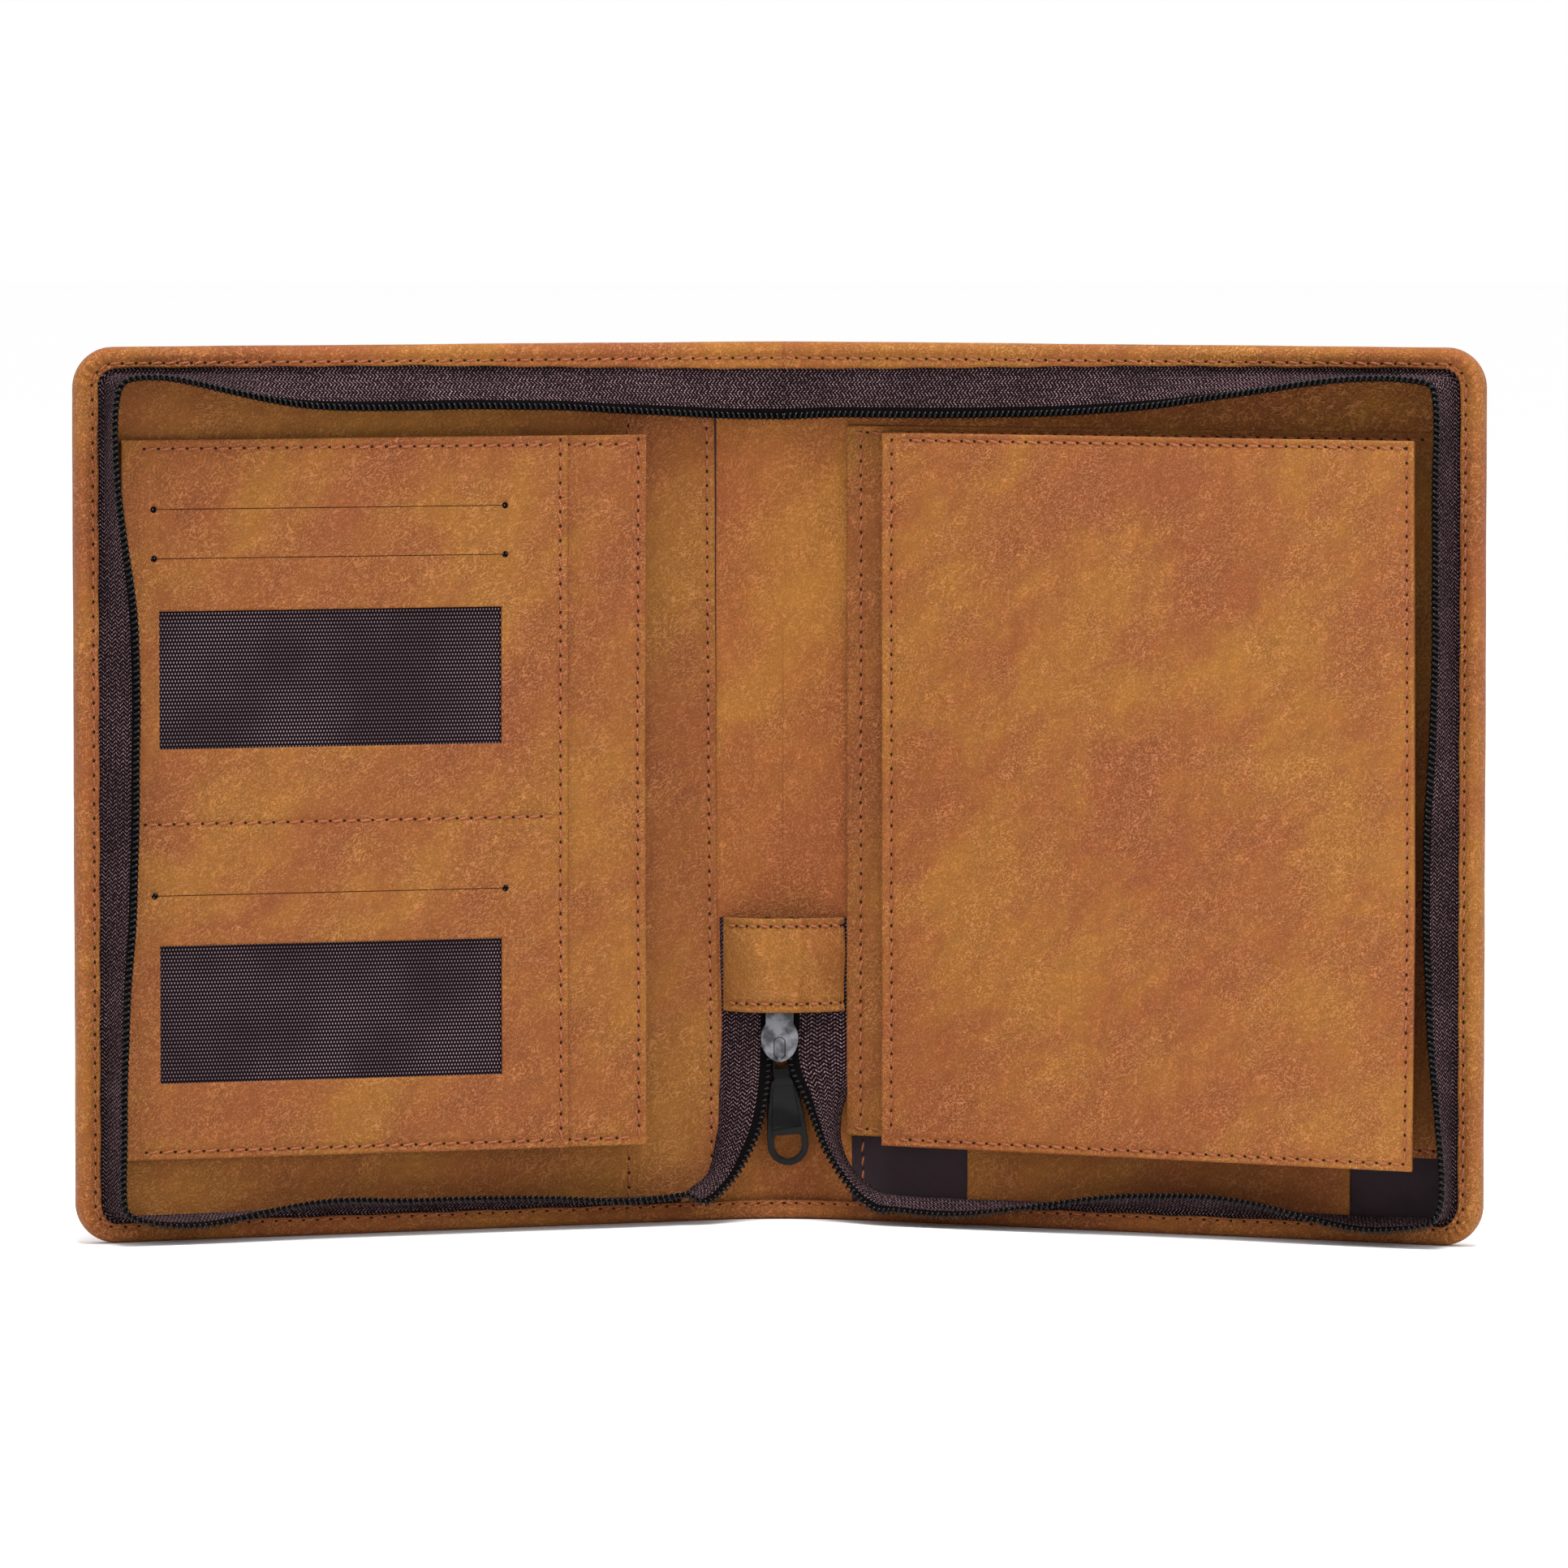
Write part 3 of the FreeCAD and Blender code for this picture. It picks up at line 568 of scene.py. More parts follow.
class Pad:
    """A piece of leather or cloth with rounded edges, seams and openings, laid out flat.
    u, z and w are its two ends out from the fold, in height and up from the outer face. inner is how high the
    underside rises where the piece is hollow, and ends_u is where its level seams end."""

    def __init__(self, u, z, w, step, seams_u=(), seams_z=(), holes=(), radius=0.4,
                 uneven=None, inner=None, ends_u=None, outline=None):
        us = merge_lines(lines(*u, step, seams_u), hole_lines(holes, 0))
        zs = merge_lines(lines(*z, step, seams_z), hole_lines(holes, 1))
        uu, zz = np.meshgrid(us, zs, indexing="ij")
        self.cut = u[0] <= SPINE_START
        before = np.full_like(uu, radius * 4) if self.cut else uu - u[0]
        d = np.minimum(np.minimum(before, u[1] - uu), np.minimum(zz - z[0], z[1] - zz))
        for h in holes:
            slit = h[1][1] - h[1][0] < 0.5
            d = np.minimum(d, rect_distance(uu, zz, h) * (SLIT_SHARPER if slit else 1.0))
        d = np.where(d < 1e-3, 0.0, d)
        mid, half = (w[0] + w[1]) / 2, (w[1] - w[0]) / 2
        round_off = crown(d, radius)
        pull = SEAM_DEEP * seam_dip(uu, zz, seams_u, seams_z, ends_u or u, z) * step_between(0, 0.6, d)
        top = mid + half * round_off - pull
        low = mid - half * round_off
        if inner is not None:
            low = low + (inner - w[0]) * step_between(1.5, 2.6, d)
        rise = uneven(uu, zz) if uneven else 0.0
        if outline:
            uu, zz = outline(uu, zz)
        front = np.stack([uu, top + rise, zz], -1).reshape(-1, 3)
        back = np.stack([uu, low + rise, zz], -1).reshape(-1, 3)
        nu, nz = len(us), len(zs)
        cu = (us[:-1] + us[1:])[:, None] / 2 + 0 * zs[None, :-1]
        cz = (zs[:-1] + zs[1:])[None, :] / 2 + 0 * us[:-1, None]
        keep = np.ones(cu.shape, bool)
        for h in holes:
            keep &= ~((cu > h[0][0]) & (cu < h[0][1]) & (cz > h[1][0]) & (cz < h[1][1]))
        faces = grid(nu, nz)[keep.ravel()]
        self.points = np.concatenate([front, back])
        self.faces = np.concatenate([faces, faces[:, ::-1] + nu * nz])
        if self.cut:
            k = np.arange(nz - 1)
            self.faces = np.concatenate([self.faces, np.stack([k, k + 1, nu * nz + k + 1, nu * nz + k], -1)])
        self.size = ((u[1] - u[0]) * MM, (z[1] - z[0]) * MM)
        self.area = self.size[0] * self.size[1] - sum(
            (h[0][1] - h[0][0]) * (h[1][1] - h[1][0]) for h in holes) * MM * MM

    def build(self, name, material, place, side, cutters=()):
        obj = make_object(name, self.points, self.faces, material)
        weld(obj, 2e-3, SPINE_START if self.cut else None)
        for cutter in cutters:
            carve(obj, cutter)
        return settle(obj, place, side)


def grain_of(flat, side):
    """The place for the leather's grain, the same way round on both covers."""
    return np.stack([side * (flat[:, 0] - SPINE_END), -flat[:, 1], flat[:, 2]], -1)


def settle(obj, place, side):
    """Moves a mesh that was made flat to where it stands, and keeps its flat place for the materials."""
    flat = points_of(obj.data)
    layer(obj.data, "grain_at", grain_of(flat, side) * MM)
    move(obj.data, place(flat))
    return outward(obj)


def carve(obj, cutter):
    """Cuts one closed mesh out of another."""
    bake(obj, "BOOLEAN", operation="DIFFERENCE", solver="EXACT", object=cutter)
    bpy.data.objects.remove(cutter)


def drill(u, z, radius, w):
    """A round cutter through a flat piece."""
    a = np.linspace(0, 2 * math.pi, 20, endpoint=False)
    rings = [np.stack([u + radius * np.cos(a), 0 * a + h, z + radius * np.sin(a)], -1) for h in w]
    return outward(make_object("cutter", np.concatenate(rings), tube(2, len(a)), []))


def catmull(knots, at):
    """A smooth curve through rows of points, read at shares of its length."""
    knots = np.asarray(knots, float)
    flat = knots.reshape(len(knots), -1)
    gap = np.linalg.norm(np.diff(flat, axis=0), axis=1) ** 0.5
    t = np.concatenate([[0], np.cumsum(gap)])
    slope = np.gradient(flat, t, axis=0)
    x = np.clip(at, 0, 1) * t[-1]
    i = np.clip(np.searchsorted(t, x, side="right") - 1, 0, len(t) - 2)
    h = (t[i + 1] - t[i])[:, None]
    s = ((x - t[i]) / (t[i + 1] - t[i]))[:, None]
    out = ((1 + 2 * s) * (1 - s) ** 2 * flat[i] + s * (1 - s) ** 2 * h * slope[i]
           + s * s * (3 - 2 * s) * flat[i + 1] + s * s * (s - 1) * h * slope[i + 1])
    return out.reshape((len(x),) + knots.shape[1:])


def even(path, step):
    """Reads rows of points again at even steps along their last column."""
    run = run_along(path[:, -1] if path.ndim == 3 else path)
    at = np.linspace(0, run[-1], max(2, int(run[-1] / step)) + 1)
    return read_at(at, run, path.reshape(len(path), -1)).reshape((len(at),) + path.shape[1:])


# ---------------------------------------------------------------- covers
# A ring of the leather runs from the back round the edge to the inside. Each place on it is how far in from
# the edge it is, and how far up from the outer face. LIP's first number is the share of the way from the
# stitches, at STITCH_IN, to the lip's own edge.
BACK_RINGS = (120.0, 100.0, 80.0, 62.0, 46.0, 33.0, 22.0, 14.0, 9.0, 6.5)
EDGE = ((4.5, 0.0), (2.9, 0.06), (1.9, 0.2), (1.2, 0.55), (0.6, 1.1), (0.25, 1.8), (0.05, 2.8), (0.0, 3.9),
        (0.02, 4.9), (0.2, 5.7), (0.55, 6.35), (1.05, 6.85), (1.7, 7.15), (2.5, 7.25), (3.2, 7.14),
        (3.75, 6.93), (4.2, 6.76), (4.45, 6.68))
LIP = ((0.25, 6.82), (0.55, 6.92), (0.8, 6.84), (0.94, 6.6), (1.0, 6.3), (0.95, 6.05))
INSIDE = ((4.2, 5.97), (2.3, 5.9), (1.9, 5.2), (1.8, 3.5), (1.85, 1.8), (2.6, 1.15), (4.5, 1.0))
STITCH_IN = EDGE[-1][0]


def half_outline():
    """The top half of a cover's outline, from the middle of the spine to half way down the side:
    place, inward direction, and how far round the corner it is."""
    top = [((u, HEIGHT), (0, -1), 0.0) for u in np.linspace(SPINE_START, COVER_WIDTH - CORNER, 202)[:-1]]
    arc = []
    for t in np.linspace(0, 1, 40)[:-1]:
        a = t * math.pi / 2
        arc.append(((COVER_WIDTH - CORNER + CORNER * math.sin(a), HEIGHT - CORNER + CORNER * math.cos(a)),
                    (-math.sin(a), -math.cos(a)), t))
    side = [((COVER_WIDTH, z), (-1, 0), 1.0) for z in np.linspace(HEIGHT - CORNER, HEIGHT / 2, 116)]
    return top + arc + side


def deeper(u):
    """How much deeper the top lip is at a place along it."""
    return (LIP_SPINE_TOP - LIP_TOP) * min(1.0, max(0.0, 1 - u / DEEPER_WITHIN))


def cover_row(place, inward, turn, run, top, side):
    """One ring of a cover's leather at a place on its outline. run is how far round the outline it is."""
    level = LIP_TOP + deeper(place[0]) if top else LIP_BOTTOM
    lip = level + (LIP_SIDE - level) * step_between(0, 1, turn)
    corner = math.sin(math.pi * turn)
    seed = side + (3 if top else 5)
    away = float(step_between(0.0, 25.0, run))
    swell = away * (0.16 * math.sin(run / 13 + seed) + 0.1 * math.sin(run / 5.3 + 2 * seed))
    crease = 0.16 * math.exp(-((place[0] - SPINE_END) / 11) ** 2) if top and turn == 0 else 0.0
    pucker = (corner * 0.3 * math.sin(run * 2.1 + seed) + crease * math.cos(run * 1.35)
              + away * 0.05 * math.sin(run * 1.65))
    pinch = max(0.0, 1 - abs(place[0] + 4) / 7) if turn == 0 else 0.0
    out = []

    def put(d, w):
        reach = min(d, CORNER)
        u = place[0] + inward[0] * reach
        z = place[1] + inward[1] * reach
        u = min(u, COVER_WIDTH - d) if d > CORNER else u
        z = max(min(z, HEIGHT - d), d) if d > CORNER else z
        out.append((u, w, z))

    for d in BACK_RINGS:
        put(d, 0.0)
    for d, w in EDGE:
        bulge = step_between(6.2, 7.2, w) * step_between(4.3, 2.0, d)
        shift = 0.22 * (1 - step_between(2.0, 5.0, d)) * (swell - 0.2)
        rise = (swell * 0.8 + pucker * 1.4 - 0.25 * pinch) * step_between(5.0, 6.8, w)
        put(d + max(0.0, -shift), w + rise * (0.4 + 0.6 * bulge))
    for t, w in LIP:
        span = lip + away * 0.12 * math.sin(run / 3.1 + seed) - STITCH_IN
        put(STITCH_IN + span * t, w + 0.35 * swell + 0.6 * pucker)
    for d, w in INSIDE:
        put(min(d, lip - 0.4), w)
    for d in reversed(BACK_RINGS):
        put(d, 1.0)
    return out


def cover_rows(side):
    """Every ring of a cover's leather, from the middle of the spine's top round to its bottom."""
    half = half_outline()
    rows = []
    for top in (True, False):
        run, last, made = 0.0, half[0][0], []
        for place, inward, turn in half:
            run += math.dist(place, last)
            last = place
            made.append(cover_row(place, inward, turn, run, top, side))
        made = np.array(made)
        if not top:
            made[..., 2] = HEIGHT - made[..., 2]
            made = made[::-1]
        rows.append(made)
    return np.concatenate([rows[0], rows[1][1:]])


def cover_shell(side):
    """A cover's leather with half of the spine's, turned in round the edge: one closed skin."""
    rows = cover_rows(side)
    n, m = rows.shape[:2]
    faces = [tuple(f) for f in grid(n, m)]
    ring = len(BACK_RINGS)
    for end in (0, (n - 1) * m):
        for k in range(ring - 1):
            faces.append((end + k, end + k + 1, end + m - 2 - k, end + m - 1 - k))
        faces.append(tuple(end + k for k in range(ring - 1, m - ring + 1)))
    obj = make_object(f"{NAME[side]}_cover_shell", rows.reshape(-1, 3), faces, COVER_LEATHER)
    return settle(weld(obj, 1e-3, SPINE_START), COVER_PLACE[side], side)


def across_fold(obj, side, out=3.0, back=3.0):
    """Bakes the piece's place into its mesh."""
    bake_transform(obj)


def bed(side):
    """The same unevenness for every layer of a cover, so that none cuts into the next."""
    return lambda u, z: wave(u, z, 2.0 + side)


for s in (LEFT, RIGHT):
    shell = cover_shell(s)
    across_fold(shell, s)
    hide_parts(f"{NAME[s]}_cover_leather", "spine_cover_leather")


# ---------------------------------------------------------------- stitches
# One stitch is a row of rings: where each is along it, its radius, and how far up its middle lies.
RING_T = np.array((-1.0, -0.72, -0.25, 0.25, 0.72, 1.0))
RING_R = np.array((0.14, 0.27, 0.33, 0.33, 0.27, 0.14))
RING_UP = np.array((-0.42, -0.10, 0.07, 0.07, -0.10, -0.42))
RING_SIDES = 6
STITCH_SLANT = 9.0
HOLE_SIDES = 8
UP = np.array((0, 1.0, 0))


def seam(points, pitch, long, seed):
    """Stitches along a line laid out flat: closed threads, and the needle holes between them."""
    run = run_along(points)
    count = max(1, int(run[-1] / pitch))
    at = (np.arange(count) + 0.5) * run[-1] / count
    spot = read_at(at, run, points)
    along = unit(read_at(at + 0.4, run, points) - read_at(at - 0.4, run, points))
    along[:, 1] = 0
    along = unit(along)
    slant = np.radians(STITCH_SLANT + 5 * np.sin(np.arange(count) * 12.9898 + seed * 78.233))[:, None]
    lie = along * np.cos(slant) + np.cross(UP, along) * np.sin(slant)
    over = np.cross(lie, UP)
    length = long * (1 + 0.07 * np.sin(np.arange(count) * 4.1 + seed))
    turn = np.linspace(0, 2 * math.pi, RING_SIDES, endpoint=False)
    reach = (RING_T * length[:, None])[..., None]
    wide = RING_R[:, None] * np.cos(turn)
    high = RING_UP[:, None] + RING_R[:, None] * np.sin(turn) * 0.8
    rings = (spot[:, None, None] + lie[:, None, None] * reach[..., None]
             + over[:, None, None] * wide[..., None] + UP * high[..., None])
    strip = np.stack(np.broadcast_arrays(at[:, None, None] + reach, turn * 0.33, 0.0), -1)
    size = len(RING_T) * RING_SIDES
    faces = [tuple(i + k * size for i in f) for k in range(count) for f in tube(len(RING_T), RING_SIDES)]
    return (rings.reshape(-1, 3), faces, strip.reshape(-1, 3)), needle_holes(spot, along, run[-1] / count)


def needle_holes(spot, along, pitch):
    """A small dark dimple after each stitch."""
    turn = np.linspace(0, 2 * math.pi, HOLE_SIDES, endpoint=False)
    middle = (spot + along * pitch / 2)[:, None]
    over = np.cross(along, UP)[:, None]
    rim = (middle + along[:, None] * (0.46 * np.cos(turn))[:, None]
           + over * (0.38 * np.sin(turn))[:, None] + 0.02 * UP)
    points = np.concatenate([rim, middle + 0.07 * UP, middle - 0.3 * UP], 1).reshape(-1, 3)
    faces = []
    for base in range(0, len(points), HOLE_SIDES + 2):
        for i in range(HOLE_SIDES):
            j = (i + 1) % HOLE_SIDES
            faces += [(base + i, base + j, base + HOLE_SIDES), (base + j, base + i, base + HOLE_SIDES + 1)]
    return points, faces, np.zeros_like(points)


def sew(name, runs, place, side, pitch=3.85, long=1.62):
    """One object of every stitch in some seams, with their needle holes."""
    points, faces, strips, slots = [], [], [], []
    start = 0
    for i, run in enumerate(runs):
        for slot, (made, made_faces, strip) in enumerate(seam(run, pitch, long, i + 1)):
            points.append(made)
            strips.append(strip)
            faces += [tuple(k + start for k in f) for f in made_faces]
            slots += [slot] * len(made_faces)
            start += len(made)
    flat = np.concatenate(points)
    obj = make_object(name, place(flat), faces, [THREAD, HOLE], grain_of(flat, side), np.concatenate(strips),
                      slots)
    return obj


def straight(u0, z0, u1, z1, w, uneven=None):
    """A straight seam on a piece, from one end to the other."""
    t = np.linspace(0, 1, 90)
    u, z = u0 + (u1 - u0) * t, z0 + (z1 - z0) * t
    rise = uneven(u, z) if uneven else 0 * t
    return np.stack([u, w + rise, z], -1)


def rim_seam(side):
    """The stitches round a cover, from the spine's top to its bottom."""
    path = cover_rows(side)[:, len(BACK_RINGS) + len(EDGE) - 1]
    path[:, 1] += 0.16
    return path


for s in (LEFT, RIGHT):
    rim = sew(f"{NAME[s]}_rim_stitches", [rim_seam(s)], COVER_PLACE[s], s)
    across_fold(rim, s)
    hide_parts(f"thread_{NAME[s]}_rim", "thread_spine_rim")


# ---------------------------------------------------------------- linings and pockets
LINED_Z = (4.0, 236.0)


def lay(pad, name, material, place, side, hang, nodes, slot="leather", held="laid", rests_on=(), cutters=()):
    """Builds a sheet, hands it to hang and hides the nodes it stands in for."""
    obj = pad.build(name, material, place, side, cutters)
    hang(obj)
    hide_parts(*nodes)


def on_cover(pad, name, material, side, nodes, slot="leather"):
    cover = f"{NAME[side]}_cover"
    lay(pad, name, material, COVER_PLACE[side], side, lambda obj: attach(obj, cover), nodes, slot,
        rests_on=[f"{cover}_board"])


for s in (LEFT, RIGHT):
    strip = Pad((SPINE_START, 2.2), (4.0, 235.0), (3.45, 4.05), 1.4, radius=0.1, uneven=bed(s))
    bent = partial(across_fold, side=s, out=2.2, back=2.2)
    lay(strip, f"spine_lining_{NAME[s]}", LINING_LEATHER, COVER_PLACE[s], s, bent, ["spine_lining"],
        rests_on=["spine_padding"])
    lining = Pad((1.2, 178.4), LINED_Z, (3.4, 3.85), 3.0, uneven=bed(s))
    on_cover(lining, f"{NAME[s]}_lining", NYLON, s, [f"{NAME[s]}_cover_lining"], "nylon_lining")


POCKET_SEAM_U = 5.4
POCKET_SEAMS_Z = (25.2, 215.3)


def skewed(u, z):
    """The long pocket's free edge runs a little off square."""
    return u + (0.4 + 1.7 * z / HEIGHT) * step_between(24.0, 5.0, u), z


POCKETS = (
    ("left_full_pocket", LEFT, POCKET_LEATHER,
     Pad((0.9, 178.5), LINED_Z, (3.95, 4.72), 2.4, seams_u=(3.2,), uneven=bed(LEFT), outline=skewed)),
    ("left_inner_pocket", LEFT, POCKET_LEATHER,
     Pad((25.8, 178.5), LINED_Z, (4.75, 5.5), 2.4, seams_u=(28.0,), uneven=bed(LEFT))),
    ("right_top_facing", RIGHT, FACING_LEATHER,
     Pad((1.3, 178.5), (188.0, 236.0), (3.92, 4.68), 2.0, uneven=bed(RIGHT))),
    ("right_bottom_facing", RIGHT, POCKET_LEATHER,
     Pad((36.4, 147.2), (4.0, 60.0), (3.92, 4.68), 2.0, uneven=bed(RIGHT))),
    ("right_wide_pocket", RIGHT, POCKET_LEATHER,
     Pad((1.2, 176.0), (23.2, 217.3), (4.74, 5.5), 2.4, seams_u=(POCKET_SEAM_U,), seams_z=POCKET_SEAMS_Z,
         uneven=bed(RIGHT))),
)
for name, s, material, pad in POCKETS:
    on_cover(pad, f"{name}_leather", material, s, [name])

# The wide pocket's level seams are broken where the flap is sewn in over them.
WIDE_SEAMS = [(POCKET_SEAM_U, POCKET_SEAMS_Z[0], POCKET_SEAM_U, POCKET_SEAMS_Z[1])]
WIDE_SEAMS += [(u0, z, u1, z) for z in POCKET_SEAMS_Z for u0, u1 in ((2.4, 12.2), (15.5, 175))]
WIDE_RUNS = [straight(*ends, 5.3, bed(RIGHT)) for ends in WIDE_SEAMS]
WIDE_RUNS.insert(1, straight(POCKET_SEAM_U, 6.5, POCKET_SEAM_U, 22.0, 3.85, bed(RIGHT)))
LEFT_RUNS = [straight(3.64, 6, 5.24, 232, 4.5, bed(LEFT)), straight(28.0, 6, 28.0, 233, 5.3, bed(LEFT))]
for name, s, runs, node in (("left_pocket_stitches", LEFT, LEFT_RUNS, "thread_left_pockets"),
                            ("right_pocket_stitches", RIGHT, WIDE_RUNS, "thread_right_pocket")):
    thread = sew(name, runs, COVER_PLACE[s], s)
    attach(thread, f"{NAME[s]}_cover")
    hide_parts(node)

# ---------------------------------------------------------------- card panel
WINDOW_HOLES = [((66.6, 162.0), (132.3, 169.2)), ((66.6, 162.0), (42.6, 79.5))]
BACK_SEAM_U = 27.5
FACE_SEAM_U = 49.9
PANEL_SEAMS_Z = (24.2, 112.2, 212.7)
BACK_SEAMS_Z = (PANEL_SEAMS_Z[0], PANEL_SEAMS_Z[-1])
BACK_THREAD_W = 6.46
FACE_THREAD_W = 7.74
SLITS = (196.5, 183.3, 93.0)
SLIT_ENDS = (65.5, 163.5)
SLIT_HOLES = [(SLIT_ENDS, (z - 0.03, z + 0.03)) for z in SLITS]


def panel_wave(u, z):
    """The panel is a little fuller between its seams, and its free edge ripples."""
    free = step_between(60.0, 25.0, u)
    return wave(u, z, 5.0, 0.8) + 0.5 * free * np.sin(z / 31.0 + 0.7) + 0.12 * np.sin(z / 8.0) * free


def across_panel(obj):
    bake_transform(obj)


panel_back = Pad((25.2, 172.3), PANEL_Z, (5.9, 6.66), 2.0, seams_u=(BACK_SEAM_U,), seams_z=BACK_SEAMS_Z,
                 ends_u=(25.2, 47.6), uneven=panel_wave)
lay(panel_back, "card_panel_backing", PANEL_LEATHER, panel_place, LEFT, across_panel, ["card_panel_back"],
    rests_on=["left_inner_pocket_leather"])

panel_face = Pad((47.7, 172.5), PANEL_Z, (7.05, 7.95), 1.8, seams_u=(FACE_SEAM_U,), seams_z=PANEL_SEAMS_Z,
                 holes=WINDOW_HOLES + SLIT_HOLES, ends_u=(47.7, 168.0), uneven=panel_wave)
punches = [drill(u, z, 0.9, (4.0, 11.0)) for z in SLITS for u in SLIT_ENDS]
lay(panel_face, "card_panel_front", PANEL_LEATHER, panel_place, LEFT, across_panel,
    ["card_panel_face", "card_panel_margin"], rests_on=["card_panel_backing"], cutters=punches)

for part, z in (("upper", (114.0, 212.0)), ("lower", (25.0, 110.0))):
    cloth = Pad((51.6, 164.6), z, (6.68, 7.0), 2.5, radius=0.15, uneven=panel_wave)
    lay(cloth, f"card_window_cloth_{part}", WINDOW, panel_place, LEFT, across_panel,
        [f"card_window_mesh_{part}"], "window_mesh", "stretched", ["card_panel_backing"])

panel_thread = sew("card_panel_stitches", [
    *[straight(u, 23.5, u, 214.0, w, panel_wave) for u, w in ((FACE_SEAM_U, FACE_THREAD_W),
                                                              (BACK_SEAM_U, BACK_THREAD_W))],
    *[straight(51.4, z, 166.0, z, FACE_THREAD_W, panel_wave) for z in PANEL_SEAMS_Z],
    *[straight(29.4, z, 47.1, z, BACK_THREAD_W, panel_wave) for z in BACK_SEAMS_Z]], panel_place, LEFT)
across_panel(panel_thread)
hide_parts("thread_card_panel")


# ---------------------------------------------------------------- pad flap
def flap_wave(u, z):
    far = step_between(60.0, 168.0, u)
    return wave(u, z, 9.0, 0.9) + 0.5 * far * np.sin(z / 37.0 + 1.9)


def across_flap(obj):
    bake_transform(obj)


FLAP_SEAMS_U = (15.6, 169.0)
FLAP_SEAMS_Z = (23.0, 213.5)
flap_front = Pad((12.6, 171.0), FLAP_Z, (7.24, 8.42), 1.9, seams_u=FLAP_SEAMS_U, seams_z=FLAP_SEAMS_Z,
                 radius=0.55, inner=7.86, uneven=flap_wave)
lay(flap_front, "pad_flap_front_leather", FLAP_LEATHER, flap_place, RIGHT, across_flap,
    ["pad_flap_front", "pad_flap_margin"], rests_on=["pad_flap_stiffener"])
flap_back = Pad((13.0, 170.6), (21.3, 215.2), (5.95, 7.18), 2.4, radius=0.5, uneven=flap_wave)
lay(flap_back, "pad_flap_back_leather", POCKET_LEATHER, flap_place, RIGHT, across_flap,
    ["pad_flap_back", "pad_flap_stiffener"], rests_on=["pad_flap_front_leather"])
FLAP_SEAMS = [(u, FLAP_SEAMS_Z[0], u, FLAP_SEAMS_Z[1]) for u in FLAP_SEAMS_U]
FLAP_SEAMS += [(17.5, z, 168.5, z) for z in FLAP_SEAMS_Z]
FLAP_RUNS = [straight(*ends, 8.2, flap_wave) for ends in FLAP_SEAMS]
flap_thread = sew("pad_flap_stitches", FLAP_RUNS, flap_place, RIGHT)
across_flap(flap_thread)
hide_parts("thread_pad_flap")

# ---------------------------------------------------------------- zip tape and coil
# How far the tape leans up from flat, in degrees, at places along each cover's top, side and bottom
LEAN_TOP = {
    LEFT: ((-16.9, 7), (-13.9, 5), (-6.8, 12), (0, 20), (10, 23), (45, 33), (87, 28), (110.6, 36), (130, 53),
           (143, 68), (159.6, 88), (173.5, 90)),
    RIGHT: ((-16.9, 7), (-11.9, 10), (-4.8, 17), (0, 19), (6, 19), (57, 18), (81, 28), (113.8, 49),
            (133.7, 66), (153.4, 88), (173.5, 90)),
}
LEAN_SIDE = {
    LEFT: ((11, 90), (20, 86), (36, 78), (55, 70), (83, 64), (140, 62), (166, 61), (191, 72), (203, 81),
           (229, 90)),
    RIGHT: ((11, 90), (24, 89), (50, 83), (88, 73), (155, 73), (179, 81), (202, 85), (229, 90)),
}
LEAN_BOTTOM = {
    LEFT: ((13.5, 86), (28, 94), (48, 86), (69, 74), (87, 69), (107, 67), (121, 72), (134, 86), (147.5, 104),
           (161, 106), (173.5, 96)),
    RIGHT: ((13.5, 100), (34, 101), (51, 91), (71, 80), (97, 72), (110, 71), (125, 76), (143, 96), (155, 105),
            (164.6, 96), (173.5, 92)),
}
TAIL_START = {LEFT: 14.5, RIGHT: 19.5}  # where the tape leaves the bottom lip, out from the fold
# The free tail, from the top down: the sewn margin, the fullness between, the coil.
TAIL = {
    LEFT: (((-16.8, -0.3, 83), (-10.5, -4.6, 83), (-4.3, -4.4, 83)),
           ((-16.8, -0.3, 57), (-10.5, -4.8, 57), (-4.3, -4.4, 57)),
           ((-16.9, -0.4, 43), (-11.5, -5.0, 43), (-4.3, -4.4, 43)),
           ((-16.9, -0.6, 34.5), (-11.8, -5.2, 35.5), (-4.9, -5.4, 36.4)),
           ((-17.1, -1.2, 27), (-13.2, -6.4, 27), (-6.9, -7.8, 26.6)),
           ((-17.8, -2.2, 20), (-15.2, -7.2, 20), (-10.2, -9.5, 18.9)),
           ((-20.0, -3.9, 12.6), (-17.8, -8.5, 12.6), (-14.7, -12.0, 11.8)),
           ((-25.6, -6.0, 8.0), (-23.0, -10.5, 8.2), (-21.3, -16.0, 6.5))),
    RIGHT: (((17.0, -0.5, 83), (9.0, -4.8, 83), (1.9, -4.4, 83)),
            ((17.1, -0.6, 57), (9.0, -5.0, 57), (1.9, -4.4, 57)),
            ((17.4, -1.2, 44), (9.0, -5.6, 44), (1.9, -4.4, 43)),
            ((16.6, -2.0, 36.8), (10.5, -7.5, 36), (6.1, -5.8, 33.3)),
            ((14.6, -2.9, 29), (12.0, -9.4, 29.0), (8.7, -7.4, 26.6)),
            ((14.6, -3.6, 21.5), (13.9, -9.9, 21.6), (11.3, -9.0, 20.2)),
            ((18.4, -5.0, 13.4), (18.2, -10.6, 13.8), (17.8, -12.0, 10.4)),
            ((25.4, -7.2, 8.2), (24.0, -11.5, 9.0), (24.4, -16.5, 4.7))),
}
# Places across the tape: before 0 it is sewn down under the lip
ACROSS = np.array((-3.4, -1.6, -0.5, 0.0, 0.35, 0.7, 1.1, 1.7, 2.6, 3.9, 5.4, 7.0, 8.6, 10.0, 10.9, 11.7,
                   COIL_AT, 12.9, TAPE_END))


